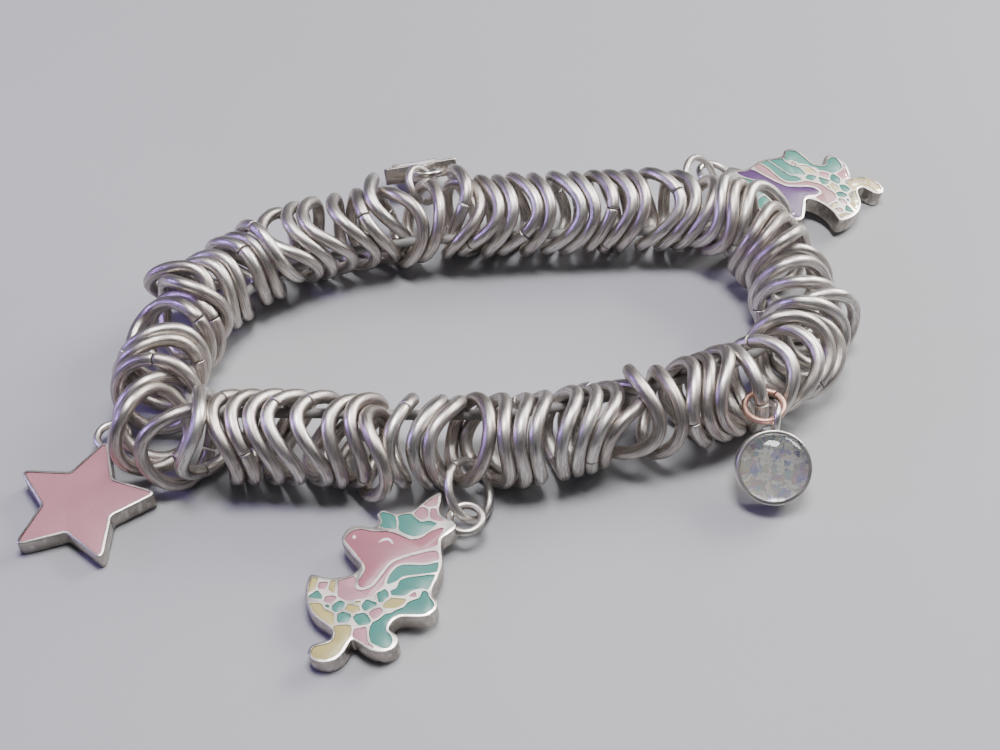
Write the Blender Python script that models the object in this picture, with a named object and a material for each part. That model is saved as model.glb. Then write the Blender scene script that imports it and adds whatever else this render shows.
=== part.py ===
"""Stretch charm bracelet: wavy split rings packed on an elastic, with five charms on jump rings.

The bracelet lies flat on a surface at z = 0. Lengths are in metres, +Z is up. The long straight side of
the loop runs along X at low Y. Every ring is laid by a small packing routine that is the same on each run.
"""

import math

import bmesh
import bpy
import numpy as np
from mathutils import Matrix, Vector

MM = 0.001
GAP = 0.3 * MM

# Loop: points that the middle of the band passes, anticlockwise from the front left, in millimetres, and
# the shift that centres the bracelet on the origin
ROUTE = (
    (-29.1, -11.9),
    (-18.2, -12.3),
    (-4.5, -12.6),
    (4.6, -11.9),
    (13.9, -9.3),
    (23.5, -5.9),
    (28.9, -1.6),
    (30.0, 5.0),
    (28.0, 12.0),
    (22.6, 17.7),
    (14.7, 18.4),
    (0.0, 17.5),
    (-12.4, 16.4),
    (-21.5, 12.8),
    (-28.3, 7.6),
    (-31.6, -0.5),
    (-31.9, -7.6),
)
ROUTE_SHIFT = (0.76, 1.75)
ROUTE_STEPS = 720
ROUTE_ROUNDING = 400

# Band of rings
RING_COUNT = 78
ARC_COUNT = 14
WIRE = 1.3 * MM
WIRE_FACET_RADIUS = 0.72 * MM
RING_RADIUS = 3.78 * MM
ELASTIC = 1.0 * MM
ELASTIC_BITE = 0.35 * MM
ELASTIC_FACET_RADIUS = 0.6 * MM
ELASTIC_OVERRUN = 0.2 * MM
GRIP_SEARCH = 2.0
RING_SEGMENTS = 12
WAVE_RANGE = (0.6 * MM, 1.35 * MM)
YAW_SPREAD = math.radians(28)
PITCH_SPREAD = math.radians(22)
MOST_TILT = math.radians(50)
TURNED_SHARE = 0.12
TURNED_YAW = math.radians(45)
BAND_CENTRE_Z = RING_RADIUS + WIRE_FACET_RADIUS
PACK_SEED = 32

# Packing routine
SAMPLES = 28
GROW_STEPS = 220
SETTLE_STEPS = 240
NEIGHBOURS = 4
RISE_ALLOWED = 0.4 * MM
SPIN_DRAG = 0.5
CONTACT_MARGIN = 0.02 * MM
GROWN_BY = 0.8
CONTACT_EASE = 1.6
ELASTIC_HOLD = 0.5
SINK = 0.01 * MM
RISE_PULL = 0.25
FLOOR_LIFT = 0.5
SPREAD_PULL = 0.02
LEVEL_PULL = 0.06
TURN_PULL = 0.01
ARC_CLEARANCE = 0.8 * MM
LINK_CLEARANCE = 0.42 * MM
EDGE_SHARE = 0.88
HOOK_ROOM = 0.42 * MM

# Charm links: where each hooks on the band, and the lie of its jump ring
# along: share of the way round the loop; rise: angle of the hooked wire above the ring's middle;
# radius and wire: the jump ring's, in millimetres; drop: how far its far end points down; roll: its turn
# about its own reach; slew: its reach turned from straight outwards; lean: the hooked band ring's own
# turn about the hook; angles in degrees
LINKS = {
    "star": dict(along=0.9625, rise=-30, radius=2.1, wire=0.75, drop=20, roll=56, slew=60, lean=20),
    "unicorn_front": dict(along=0.1625, rise=-18, radius=2.7, wire=0.8, drop=14, roll=-50, slew=-8, lean=-28),
    "cabochon": dict(along=0.3375, rise=22, radius=1.75, wire=0.6, drop=0, roll=6, slew=6, lean=0),
    "unicorn_back": dict(along=0.5385, rise=0, radius=2.9, wire=0.75, drop=12, roll=52, slew=-22, lean=30),
    "back_star": dict(along=0.718, rise=25, radius=1.9, wire=0.75, drop=0, roll=50, slew=-20, lean=26),
}

# Charms: eyelet: its middle on the charm, in millimetres; turn: the charm turned about the vertical;
# loop and gauge: the eyelet's radius and wire; stand: the eyelet turned up from the charm's plane
CHARMS = {
    "star": dict(eyelet=(7.9, 0.0), turn=79, loop=1.45, gauge=0.75, stand=0, size=1.0),
    "unicorn_front": dict(eyelet=(6.6, 4.8), turn=4, loop=1.45, gauge=0.75, stand=0, size=1.0),
    "cabochon": dict(eyelet=(0.0, 4.45), turn=-5, loop=1.2, gauge=0.6, stand=90, size=1.0),
    "unicorn_back": dict(eyelet=(6.6, 4.8), turn=135, loop=1.55, gauge=0.75, stand=0, size=1.0),
    "back_star": dict(eyelet=(5.6, 0.0), turn=-76, loop=1.45, gauge=0.65, stand=0, size=0.64),
}
EYELET_SEGMENTS = 10
LINK_SEGMENTS = 14

PLATE = 1.8 * MM
RECESS = 0.9 * MM
ENAMEL = 0.5 * MM

STAR_TIP = 6.45 * MM
STAR_NOTCH = 3.5 * MM
STAR_ROUNDING = 0.8 * MM
STAR_RIM = 0.55 * MM
SHARPEST = 0.1 * MM
SHARPEST_CORNER = 0.5
KEPT_APART = 0.98

# Unicorn head, in millimetres from the middle of its plate: the plate's edge, from the horn's tip
# down the face, the chest, the two lower locks and back up the mane
UNICORN_EDGE = (
    (4.5, 7.3),
    (3.6, 6.9),
    (2.7, 6.2),
    (2.0, 5.6),
    (0.8, 5.45),
    (0.1, 5.6),
    (-0.6, 6.0),
    (-1.2, 5.5),
    (-1.0, 4.7),
    (-1.7, 4.2),
    (-2.5, 4.5),
    (-3.4, 4.5),
    (-4.1, 4.0),
    (-4.35, 3.2),
    (-4.0, 2.4),
    (-3.3, 1.3),
    (-2.75, 0.5),
    (-3.0, -0.05),
    (-3.7, -0.45),
    (-4.6, -0.6),
    (-5.6, -0.5),
    (-6.6, -0.1),
    (-7.1, -0.1),
    (-7.4, -0.9),
    (-7.5, -2.0),
    (-7.3, -3.2),
    (-6.7, -4.3),
    (-5.8, -5.1),
    (-5.25, -5.8),
    (-5.4, -6.5),
    (-6.1, -6.7),
    (-6.9, -6.9),
    (-7.25, -7.6),
    (-6.9, -8.3),
    (-6.0, -8.65),
    (-5.0, -8.5),
    (-4.2, -7.8),
    (-3.6, -6.8),
    (-3.0, -7.2),
    (-2.1, -7.9),
    (-1.1, -8.2),
    (-0.2, -8.0),
    (0.3, -7.4),
    (0.2, -6.7),
    (-0.4, -6.1),
    (-0.1, -5.4),
    (0.6, -5.05),
    (1.7, -5.2),
    (2.8, -5.2),
    (3.6, -4.6),
    (3.7, -3.8),
    (3.3, -3.2),
    (3.4, -2.5),
    (3.8, -1.7),
    (4.15, -0.8),
    (4.35, 0.1),
    (4.3, 1.4),
    (4.45, 2.4),
    (5.2, 2.9),
    (5.75, 3.5),
    (5.3, 4.3),
    (4.6, 4.7),
    (4.35, 5.5),
    (4.6, 6.6),
)
UNICORN_POCKETS = {
    "face": (
        (-4.0, 3.2),
        (-3.6, 3.9),
        (-2.6, 4.1),
        (-1.5, 3.75),
        (-0.3, 3.6),
        (0.8, 3.1),
        (1.7, 2.55),
        (2.6, 2.6),
        (3.6, 3.2),
        (4.6, 3.4),
        (4.1, 2.4),
        (3.9, 1.7),
        (2.6, 1.4),
        (0.9, 1.0),
        (-0.2, 0.5),
        (-1.0, -0.5),
        (-1.8, -1.5),
        (-2.7, -1.8),
        (-2.9, -1.1),
        (-2.4, -0.3),
        (-2.4, 0.5),
        (-3.0, 1.5),
        (-3.6, 2.4),
    ),
    "mane": (
        (3.95, 1.1),
        (4.0, 0.1),
        (3.7, -0.9),
        (3.3, -1.9),
        (2.9, -2.7),
        (2.9, -3.5),
        (3.2, -4.1),
        (2.6, -4.75),
        (1.0, -4.7),
        (-0.2, -5.2),
        (-0.9, -6.1),
        (-0.6, -7.1),
        (-1.2, -7.7),
        (-2.3, -7.3),
        (-3.3, -6.3),
        (-4.0, -6.9),
        (-4.8, -7.9),
        (-5.9, -8.2),
        (-6.7, -7.6),
        (-5.5, -7.1),
        (-4.8, -6.3),
        (-4.9, -5.4),
        (-6.2, -4.2),
        (-6.9, -3.0),
        (-7.1, -1.7),
        (-6.8, -0.6),
        (-5.6, -0.95),
        (-4.2, -1.1),
        (-3.6, -1.8),
        (-2.7, -2.4),
        (-1.6, -2.1),
        (-0.7, -1.0),
        (0.2, 0.1),
        (1.6, 0.7),
        (3.0, 0.9),
    ),
    "forelock": (
        (-0.8, 5.5),
        (0.0, 5.2),
        (1.0, 5.0),
        (2.2, 5.1),
        (3.1, 6.0),
        (4.0, 6.5),
        (3.9, 5.4),
        (4.1, 4.6),
        (4.4, 4.0),
        (3.3, 3.6),
        (2.4, 3.0),
        (1.6, 3.1),
        (0.8, 3.7),
        (-0.2, 4.1),
        (-0.7, 4.7),
    ),
}

CABOCHON_RADIUS = 3.4 * MM
CABOCHON_WALL = 0.45 * MM
CABOCHON_CUP = 2.3 * MM
CABOCHON_FLOOR = 0.7 * MM
CABOCHON_RISE = 1.2 * MM


def closed_route():
    """Points along the loop's middle, evenly spaced, and the loop's length."""
    corners = (np.array(ROUTE) + ROUTE_SHIFT) * MM
    share = np.linspace(0, 1, 60, endpoint=False)[:, None]
    stretches = []
    for i in range(len(corners)):
        before, start, end, after = (corners[(i + k) % len(corners)] for k in (-1, 0, 1, 2))
        stretches.append(
            0.5
            * (
                2 * start
                + (end - before) * share
                + (2 * before - 5 * start + 4 * end - after) * share**2
                + (3 * start - before - 3 * end + after) * share**3
            )
        )
    points = np.concatenate(stretches)
    for _ in range(ROUTE_ROUNDING):
        points = 0.5 * points + 0.25 * (np.roll(points, 1, 0) + np.roll(points, -1, 0))
    closed = np.vstack([points, points[:1]])
    lengths = np.concatenate([[0], np.cumsum(np.linalg.norm(np.diff(closed, axis=0), axis=1))])
    even = np.linspace(0, lengths[-1], ROUTE_STEPS, endpoint=False)
    return np.stack([np.interp(even, lengths, closed[:, k]) for k in (0, 1)], 1), lengths[-1]


def along_route(route, share):
    """Place, direction and outward normal at a share of the way round, as rows in 3-D at z = 0."""
    at = np.atleast_1d(share) % 1 * ROUTE_STEPS
    first = np.floor(at).astype(int) % ROUTE_STEPS
    part = (at - np.floor(at))[:, None]
    place = route[first] * (1 - part) + route[(first + 1) % ROUTE_STEPS] * part
    way = route[(first + 3) % ROUTE_STEPS] - route[first - 3]
    way /= np.linalg.norm(way, axis=1)[:, None]
    flat = np.zeros((len(at), 1))
    outward = np.stack([way[:, 1], -way[:, 0]], 1)
    return np.hstack([place, flat]), np.hstack([way, flat]), np.hstack([outward, flat])


def turns(vectors):
    """Rotation matrices of rotation vectors, one per row."""
    angle = np.linalg.norm(vectors, axis=1) + 1e-12
    x, y, z = (vectors / angle[:, None]).T
    zero = np.zeros(len(vectors))
    cross = np.stack([zero, -z, y, z, zero, -x, -y, x, zero], 1).reshape(-1, 3, 3)
    sine, cosine = np.sin(angle)[:, None, None], np.cos(angle)[:, None, None]
    return np.eye(3) + sine * cross + (1 - cosine) * (cross @ cross)


def carrier_of(link):
    """The number of the band ring that a charm's jump ring hooks on."""
    return round(link["along"] * RING_COUNT) % RING_COUNT


def elastic_line(place, outward):
    """The elastic lies against the inner side of the loop, where its pull draws it."""
    inset = RING_RADIUS - WIRE / 2 - ELASTIC / 2 + ELASTIC_BITE
    return place - outward * inset + np.array([0, 0, BAND_CENTRE_Z])


def hook_direction(link, outward):
    """From the middle of a hooked band ring towards the place on its wire where the jump ring hooks."""
    rise = math.radians(link["rise"])
    return math.cos(rise) * outward + math.sin(rise) * np.array([0, 0, 1])


def jump_ring_frame(route, link):
    """Middle, reach direction and side direction of a charm's jump ring."""
    place, way, outward = (v[0] for v in along_route(route, carrier_of(link) / RING_COUNT))
    drop, slew, roll = (math.radians(link[turn]) for turn in ("drop", "slew", "roll"))
    hooked = place + np.array([0, 0, BAND_CENTRE_Z]) + RING_RADIUS * hook_direction(link, outward)
    level = math.cos(slew) * outward + math.sin(slew) * way
    reach = math.cos(drop) * level - math.sin(drop) * np.array([0, 0, 1])
    across = np.cross(reach, [0, 0, 1])
    across /= np.linalg.norm(across)
    side = math.cos(roll) * across + math.sin(roll) * np.cross(reach, across)
    clear = WIRE_FACET_RADIUS + link["wire"] * MM / 2 + HOOK_ROOM
    middle = hooked + reach * (link["radius"] * MM - clear)
    return middle, reach, side


def circle(middle, first, second, radius, count):
    angle = np.arange(count)[:, None] * 2 * math.pi / count
    return middle + radius * (np.cos(angle) * first + np.sin(angle) * second)


def pack_rings(route, length):
    """Lays the rings side by side on the elastic: each grows its wave and turns towards its own lie while
    contact with its neighbours, the jump rings and the surface pushes it clear. Returns each ring's
    middle, axes, wave height and wave phase."""
    draw = np.random.default_rng(PACK_SEED)
    number = np.arange(RING_COUNT)
    place, way, outward = along_route(route, number / RING_COUNT)
    up = np.tile([0.0, 0.0, 1.0], (RING_COUNT, 1))
    middle = place + up * BAND_CENTRE_Z
    drift = np.zeros(RING_COUNT)
    axes = np.stack([outward, up, np.cross(outward, up)], 2)
    wave = draw.uniform(*WAVE_RANGE, RING_COUNT)
    phase = draw.uniform(0, 2 * math.pi, RING_COUNT)
    yaw = draw.normal(0, YAW_SPREAD, RING_COUNT)
    pitch = draw.normal(0, PITCH_SPREAD, RING_COUNT)
    yaw = np.where(draw.random(RING_COUNT) < TURNED_SHARE, np.sign(yaw) * TURNED_YAW, yaw)
    carriers = [carrier_of(link) for link in LINKS.values()]
    free = np.ones(RING_COUNT)
    free[carriers] = 0
    wave[carriers] = 0
    goal = turns(up * yaw[:, None]) @ turns(outward * pitch[:, None]) @ axes
    for carrier, link in zip(carriers, LINKS.values()):
        lean = math.radians(link["lean"]) * hook_direction(link, outward[carrier])
        axes[carrier] = turns(lean[None])[0] @ axes[carrier]
        goal[carrier] = axes[carrier]
    obstacles, obstacle_reach = [], []
    for name, link in LINKS.items():
        centre, reach, side = jump_ring_frame(route, link)
        obstacles.append(circle(centre, reach, side, link["radius"] * MM, SAMPLES))
        obstacle_reach += [(link["wire"] * MM + WIRE) / 2 + LINK_CLEARANCE] * SAMPLES
        for points, half_thickness in charm_outer(route, name):
            obstacles.append(points)
            obstacle_reach += [half_thickness + WIRE / 2 + LINK_CLEARANCE] * len(points)
    obstacles, obstacle_reach = np.concatenate(obstacles), np.array(obstacle_reach)
    breaks = np.array([round(k * RING_COUNT / ARC_COUNT) % RING_COUNT for k in range(ARC_COUNT)])
    spin = np.arange(SAMPLES) * 2 * math.pi / SAMPLES
    inertia = 2 / RING_RADIUS**2
    elastic_reach = np.linspace(-RING_RADIUS, RING_RADIUS, 15)

    def push(force, twist, count, who, arm, direction, depth, other=0.0):
        weight = 1 + inertia * (np.cross(arm, direction) ** 2).sum(1) + other
        shove = direction * (depth / weight)[:, None]
        np.add.at(force, who, shove)
        np.add.at(twist, who, inertia * np.cross(arm, shove))
        np.add.at(count, who, 1)

    for step in range(GROW_STEPS + SETTLE_STEPS):
        grown = min(1, step / (GROWN_BY * GROW_STEPS))
        local = np.stack(
            [
                np.broadcast_to(RING_RADIUS * np.cos(spin), (RING_COUNT, SAMPLES)),
                np.broadcast_to(RING_RADIUS * np.sin(spin), (RING_COUNT, SAMPLES)),
                grown * wave[:, None] * np.cos(2 * spin + phase[:, None]),
            ],
            2,
        )
        arms = np.einsum("nij,nkj->nki", axes, local)
        points = middle[:, None] + arms
        force, twist, count = np.zeros((RING_COUNT, 3)), np.zeros((RING_COUNT, 3)), np.zeros(RING_COUNT)
        for apart in range(1, NEIGHBOURS + 1):
            near = np.full(RING_COUNT, WIRE + CONTACT_MARGIN)
            crossing = ((breaks[:, None] - 1 - number) % RING_COUNT < apart).any(0)
            near[crossing] += ARC_CLEARANCE
            offset = points[:, :, None] - np.roll(points, -apart, 0)[:, None]
            distance = np.sqrt((offset**2).sum(-1))
            one, here, there = np.nonzero(distance < near[:, None, None])
            two = (one + apart) % RING_COUNT
            span = distance[one, here, there]
            direction = offset[one, here, there] / span[:, None]
            depth = near[one] - span
            arm_one, arm_two = arms[one, here], arms[two, there]
            turn_one = 1 + inertia * (np.cross(arm_one, direction) ** 2).sum(1)
            turn_two = 1 + inertia * (np.cross(arm_two, direction) ** 2).sum(1)
            push(force, twist, count, one, arm_one, direction, depth, turn_two)
            push(force, twist, count, two, arm_two, -direction, depth, turn_one)
        offset = points[:, :, None] - obstacles
        distance = np.sqrt((offset**2).sum(-1))
        one, here, there = np.nonzero(distance < obstacle_reach)
        span = distance[one, here, there]
        push(
            force,
            twist,
            count,
            one,
            arms[one, here],
            offset[one, here, there] / span[:, None],
            obstacle_reach[there] - span,
        )
        lowest = points[:, :, 2].argmin(1)
        sunk = np.clip(WIRE_FACET_RADIUS - points[number, lowest, 2], 0, None)
        push(force, twist, count, number, arms[number, lowest], up, sunk)
        ease = np.minimum(1, CONTACT_EASE / np.sqrt(np.maximum(1, count)))[:, None]
        middle = middle + free[:, None] * force * ease
        turn = twist * ease
        # The elastic stays against the nearest wire of each ring
        shares = (number / RING_COUNT + drift / length)[:, None] + elastic_reach / length
        at, _, out = along_route(route, shares.ravel())
        elastic = elastic_line(at, out).reshape(RING_COUNT, 1, -1, 3)
        from_elastic = (points[:, :, None] - elastic).reshape(RING_COUNT, -1, 3)
        off = np.linalg.norm(from_elastic, axis=2)
        nearest = off.argmin(1)
        want = (WIRE + ELASTIC) / 2 - ELASTIC_BITE
        pull = from_elastic[number, nearest] / off[number, nearest][:, None]
        middle += free[:, None] * pull * (ELASTIC_HOLD * (want - off[number, nearest]))[:, None]
        # Rings sink under their weight, stay level with the band and spread evenly
        high = np.clip(middle[:, 2] - BAND_CENTRE_Z - RISE_ALLOWED, 0, None)
        middle[:, 2] -= free * (SINK + RISE_PULL * high - FLOOR_LIFT * sunk)
        drift = ((middle - place) * way).sum(1)
        middle -= way * (free * drift * SPREAD_PULL)[:, None]
        leant = np.cross(axes[:, :, 2], -way)
        turn += leant * (LEVEL_PULL * (np.linalg.norm(leant, axis=1) > math.sin(MOST_TILT)))[:, None]
        if step < GROW_STEPS:
            miss = goal @ axes.transpose(0, 2, 1)
            turn += TURN_PULL * np.stack(
                [
                    miss[:, 2, 1] - miss[:, 1, 2],
                    miss[:, 0, 2] - miss[:, 2, 0],
                    miss[:, 1, 0] - miss[:, 0, 1],
                ],
                1,
            )
        spin_part = (turn * axes[:, :, 2]).sum(1)[:, None] * axes[:, :, 2]
        axes = turns((turn - SPIN_DRAG * spin_part) * free[:, None]) @ axes
        left, _, right = np.linalg.svd(axes)
        axes = left @ right
    for ring in range(RING_COUNT):
        points = ring_points(middle[ring], axes[ring], wave[ring], phase[ring], 8 * RING_SEGMENTS)
        middle[ring, 2] += max(0, WIRE_FACET_RADIUS - points[:, 2].min())
    return middle, axes, wave, phase


def ring_points(middle, axes, wave, phase, count):
    """Points along one ring's wire: a circle whose two waves lift it off its plane."""
    spin = np.arange(count) * 2 * math.pi / count
    flat = RING_RADIUS * np.stack([np.cos(spin), np.sin(spin)], 1)
    local = np.column_stack([flat, wave * np.cos(2 * spin + phase)])
    return middle + local @ axes.T


def material(name, colour, roughness, metallic):
    made = bpy.data.materials.new(name)
    made.use_nodes = True
    shader = made.node_tree.nodes["Principled BSDF"]
    shader.inputs["Base Color"].default_value = (*colour, 1)
    shader.inputs["Roughness"].default_value = roughness
    shader.inputs["Metallic"].default_value = metallic
    return made


def link_object(name, data, collection):
    made = bpy.data.objects.new(name, data)
    collection.objects.link(made)
    return made


def meshed(curve_object):
    """A curve object turned into a mesh object with its caps welded."""
    graph = bpy.context.evaluated_depsgraph_get()
    mesh = bpy.data.meshes.new_from_object(curve_object.evaluated_get(graph))
    work = bmesh.new()
    work.from_mesh(mesh)
    bmesh.ops.remove_doubles(work, verts=work.verts, dist=1e-7)
    bmesh.ops.recalc_face_normals(work, faces=work.faces)
    work.to_mesh(mesh)
    work.free()
    made = link_object(curve_object.name + "_mesh", mesh, curve_object.users_collection[0])
    made.matrix_world = curve_object.matrix_world
    name = curve_object.name
    bpy.data.objects.remove(curve_object)
    made.name = name
    return made


def wire_object(name, points, radius, closed, collection, resolution=0):
    curve = bpy.data.curves.new(name, "CURVE")
    curve.dimensions = "3D"
    curve.bevel_depth = radius
    curve.bevel_resolution = resolution
    curve.use_fill_caps = True
    spline = curve.splines.new("POLY")
    spline.points.add(len(points) - 1)
    for target, point in zip(spline.points, points):
        target.co = (*point, 1)
    spline.use_cyclic_u = closed
    return link_object(name, curve, collection)


def union(target, others):
    """Joins meshes to the target with Boolean unions and removes the joined objects."""
    for other in others:
        joint = target.modifiers.new(other.name, "BOOLEAN")
        joint.operation = "UNION"
        joint.object = other
    bpy.context.view_layer.update()
    graph = bpy.context.evaluated_depsgraph_get()
    mesh = bpy.data.meshes.new_from_object(target.evaluated_get(graph))
    target.modifiers.clear()
    target.data = mesh
    keep_largest(mesh)
    for other in others:
        bpy.data.objects.remove(other)


def keep_largest(mesh):
    """Drops the crumbs that a Boolean can leave beside the body."""
    work = bmesh.new()
    work.from_mesh(mesh)
    left, largest = set(work.verts), []
    while left:
        body, edge = [], [left.pop()]
        while edge:
            body.append(edge.pop())
            near = {other.other_vert(body[-1]) for other in body[-1].link_edges} & left
            left -= near
            edge.extend(near)
        largest = max(largest, body, key=len)
    bmesh.ops.delete(work, geom=list(set(work.verts) - set(largest)), context="VERTS")
    work.to_mesh(mesh)
    work.free()


def elastic_grip(route, points, near_share):
    """The share of the way round at which the elastic passes closest to a ring's wire."""
    shares = near_share + np.linspace(-1, 1, 121) * GRIP_SEARCH / RING_COUNT
    place, _, outward = along_route(route, shares)
    apart = np.linalg.norm(points[:, None] - elastic_line(place, outward), axis=2)
    return shares[apart.min(0).argmin()]


def build_band(route, length, parts, silver):
    """The band as arcs, each with its rings joined by their stretch of elastic."""
    middle, axes, wave, phase = pack_rings(route, length)
    first = [round(k * RING_COUNT / ARC_COUNT) for k in range(ARC_COUNT + 1)]
    for arc in range(ARC_COUNT):
        rings, grips = [], []
        for ring in range(first[arc], first[arc + 1]):
            points = ring_points(middle[ring], axes[ring], wave[ring], phase[ring], RING_SEGMENTS)
            rings.append(meshed(wire_object(f"ring_{ring}", points, WIRE_FACET_RADIUS, True, parts)))
            fine = ring_points(middle[ring], axes[ring], wave[ring], phase[ring], 8 * RING_SEGMENTS)
            grips.append(elastic_grip(route, fine, ring / RING_COUNT))
        over = ELASTIC_OVERRUN / length
        shares = np.linspace(min(grips) - over, max(grips) + over, len(rings) + 2)
        place, _, outward = along_route(route, shares)
        name = f"band_arc_{arc + 1:02d}"
        core = meshed(wire_object(name, elastic_line(place, outward), ELASTIC_FACET_RADIUS, False, parts))
        union(core, rings)
        core.data.materials.clear()
        core.data.materials.append(silver)


def smooth_outline(corners, steps):
    """A closed flat outline through its corners, in millimetres, with steps points for each."""
    corners = np.array(corners) * MM
    share = np.arange(steps)[:, None] / steps
    stretches = []
    for i in range(len(corners)):
        before, start, end, after = (corners[(i + k) % len(corners)] for k in (-1, 0, 1, 2))
        stretches.append(
            start
            + 0.5 * (end - before) * share
            + 0.5 * (2 * before - 5 * start + 4 * end - after) * share**2
            + 0.5 * (3 * start - before - 3 * end + after) * share**3
        )
    return np.concatenate(stretches)


def star_edge(name, margin=0.0):
    """A five-pointed star with its first tip at +X and each tip rounded by an arc, moved in by a margin."""
    size, fifth = CHARMS[name]["size"], math.pi / 5
    rounding, notch = STAR_ROUNDING * size, STAR_NOTCH * size
    middle = STAR_TIP * size - rounding
    run, rise = middle - notch * math.cos(fifth), notch * math.sin(fifth)
    half = math.atan2(rise, run) - math.asin(rounding / math.hypot(run, rise))
    if margin > rounding - SHARPEST:
        middle -= (margin - rounding + SHARPEST) / math.sin(half)
    rounding = max(rounding - margin, SHARPEST)
    notch -= margin / math.sin(half + fifth)
    points = []
    for k in range(5):
        for sweep in (-1, -0.5, 0, 0.5, 1):
            angle = sweep * (math.pi / 2 - half)
            x, y = middle + rounding * math.cos(angle), rounding * math.sin(angle)
            turn = 2 * k * fifth
            points.append((x * math.cos(turn) - y * math.sin(turn), x * math.sin(turn) + y * math.cos(turn)))
        turn = (2 * k + 1) * fifth
        points.append((notch * math.cos(turn), notch * math.sin(turn)))
    return np.array(points)


def inset(outline, distance):
    """An outline moved inwards, each point along the middle of its corner. Points that a narrow corner
    leaves too close to the outline are dropped."""
    before = outline - np.roll(outline, 1, 0)
    after = np.roll(outline, -1, 0) - outline
    before /= np.linalg.norm(before, axis=1)[:, None]
    after /= np.linalg.norm(after, axis=1)[:, None]
    x, y = outline.T
    facing = np.sign((x * np.roll(y, -1) - y * np.roll(x, -1)).sum())
    inward = facing * np.stack([-(before + after)[:, 1], (before + after)[:, 0]], 1)
    inward /= np.linalg.norm(inward, axis=1)[:, None]
    across = facing * (inward[:, 1] * before[:, 0] - inward[:, 0] * before[:, 1])
    moved = outline + inward * (distance / np.maximum(across, SHARPEST_CORNER))[:, None]
    sides = np.roll(outline, -1, 0) - outline
    from_start = moved[:, None] - outline
    share = np.clip((from_start * sides).sum(2) / (sides**2).sum(1), 0, 1)
    apart = np.linalg.norm(from_start - share[:, :, None] * sides, axis=2).min(1)
    return moved[apart > KEPT_APART * distance]


def slab(name, outline, low, high, collection):
    """A flat outline thickened between two heights, as a closed mesh object."""
    curve = bpy.data.curves.new(name, "CURVE")
    curve.dimensions = "2D"
    curve.fill_mode = "BOTH"
    curve.extrude = (high - low) / 2
    spline = curve.splines.new("POLY")
    spline.points.add(len(outline) - 1)
    for target, (x, y) in zip(spline.points, outline):
        target.co = (x, y, 0, 1)
    spline.use_cyclic_u = True
    made = link_object(name, curve, collection)
    made.location.z = (low + high) / 2
    bpy.context.view_layer.update()
    return meshed(made)


def difference(target, cutters):
    for cutter in cutters:
        cut = target.modifiers.new(cutter.name, "BOOLEAN")
        cut.operation = "DIFFERENCE"
        cut.object = cutter


def charm_back(name):
    """Points on a charm's back, which say how low it reaches: its outline at z = 0."""
    if name == "cabochon":
        outline = circle(np.zeros(3), np.array([1, 0, 0]), np.array([0, 1, 0]), CABOCHON_RADIUS, 48)
        return outline
    edge = smooth_outline(UNICORN_EDGE, 2) if "unicorn" in name else star_edge(name)
    return np.hstack([edge, np.zeros((len(edge), 1))])


def eyelet_height(name):
    return CABOCHON_CUP / 2 if name == "cabochon" else PLATE / 2


def charm_matrix(route, name):
    """Where a charm lies: its eyelet hangs in its jump ring, and it dips until its back meets the surface."""
    link, charm = LINKS[name], CHARMS[name]
    middle, reach, _ = jump_ring_frame(route, link)
    far_wire = Vector(middle + reach * link["radius"] * MM)
    flat = Matrix.Rotation(math.radians(charm["turn"]), 3, "Z")
    eyelet = Vector((*charm["eyelet"], 0)) * MM
    hang = flat @ (-eyelet.normalized())
    axis = Vector((0, 0, 1)).cross(hang)
    eyelet.z = eyelet_height(name)
    back = [Vector(point) for point in charm_back(name)]

    def laid(dip):
        lean = Matrix.Rotation(dip, 3, axis)
        place = far_wire - lean @ flat @ eyelet
        return Matrix.Translation(place) @ (lean @ flat).to_4x4()

    low, high = math.radians(-5), math.radians(70)
    for _ in range(50):
        dip = (low + high) / 2
        if min((laid(dip) @ point).z for point in back) > 0:
            low = dip
        else:
            high = dip
    return laid(low)


def charm_outer(route, name):
    """A charm's edge and its eyelet, each as points at mid thickness and half of that thickness."""
    height = eyelet_height(name)
    edge = charm_back(name) * EDGE_SHARE + np.array([0, 0, height])
    matrix = np.array(charm_matrix(route, name))
    for points, half_thickness in (
        (edge, height),
        (eyelet_circle(name, SAMPLES), CHARMS[name]["gauge"] / 2 * MM),
    ):
        yield points @ matrix[:3, :3].T + matrix[:3, 3], half_thickness


def charm_empty(route, name, parts):
    empty = link_object(name + "_place", None, parts)
    empty.matrix_world = charm_matrix(route, name)
    return empty


def eyelet_circle(name, count):
    """Points along a charm's eyelet wire, in the charm's own frame."""
    charm = CHARMS[name]
    middle = np.array([*charm["eyelet"], 0]) * MM
    away = middle / np.linalg.norm(middle)
    stand = math.radians(charm["stand"])
    across = math.cos(stand) * np.array([-away[1], away[0], 0]) + math.sin(stand) * np.array([0, 0, 1])
    middle[2] = eyelet_height(name)
    return circle(middle, away, across, charm["loop"] * MM, count)


def eyelet_of(name, parts):
    points = eyelet_circle(name, EYELET_SEGMENTS)
    return meshed(wire_object(name + "_eyelet", points, CHARMS[name]["gauge"] / 2 * MM, True, parts))


def jump_ring(route, name, parts, metal):
    link = LINKS[name]
    middle, reach, side = jump_ring_frame(route, link)
    points = circle(middle, reach, side, link["radius"] * MM, LINK_SEGMENTS)
    ring = meshed(wire_object(name + "_jump_ring", points, link["wire"] / 2 * MM, True, parts))
    finish(ring, metal)


def finish(made, metal, parent=None):
    made.data.materials.clear()
    made.data.materials.append(metal)
    if parent:
        made.parent = parent
    return made


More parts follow.
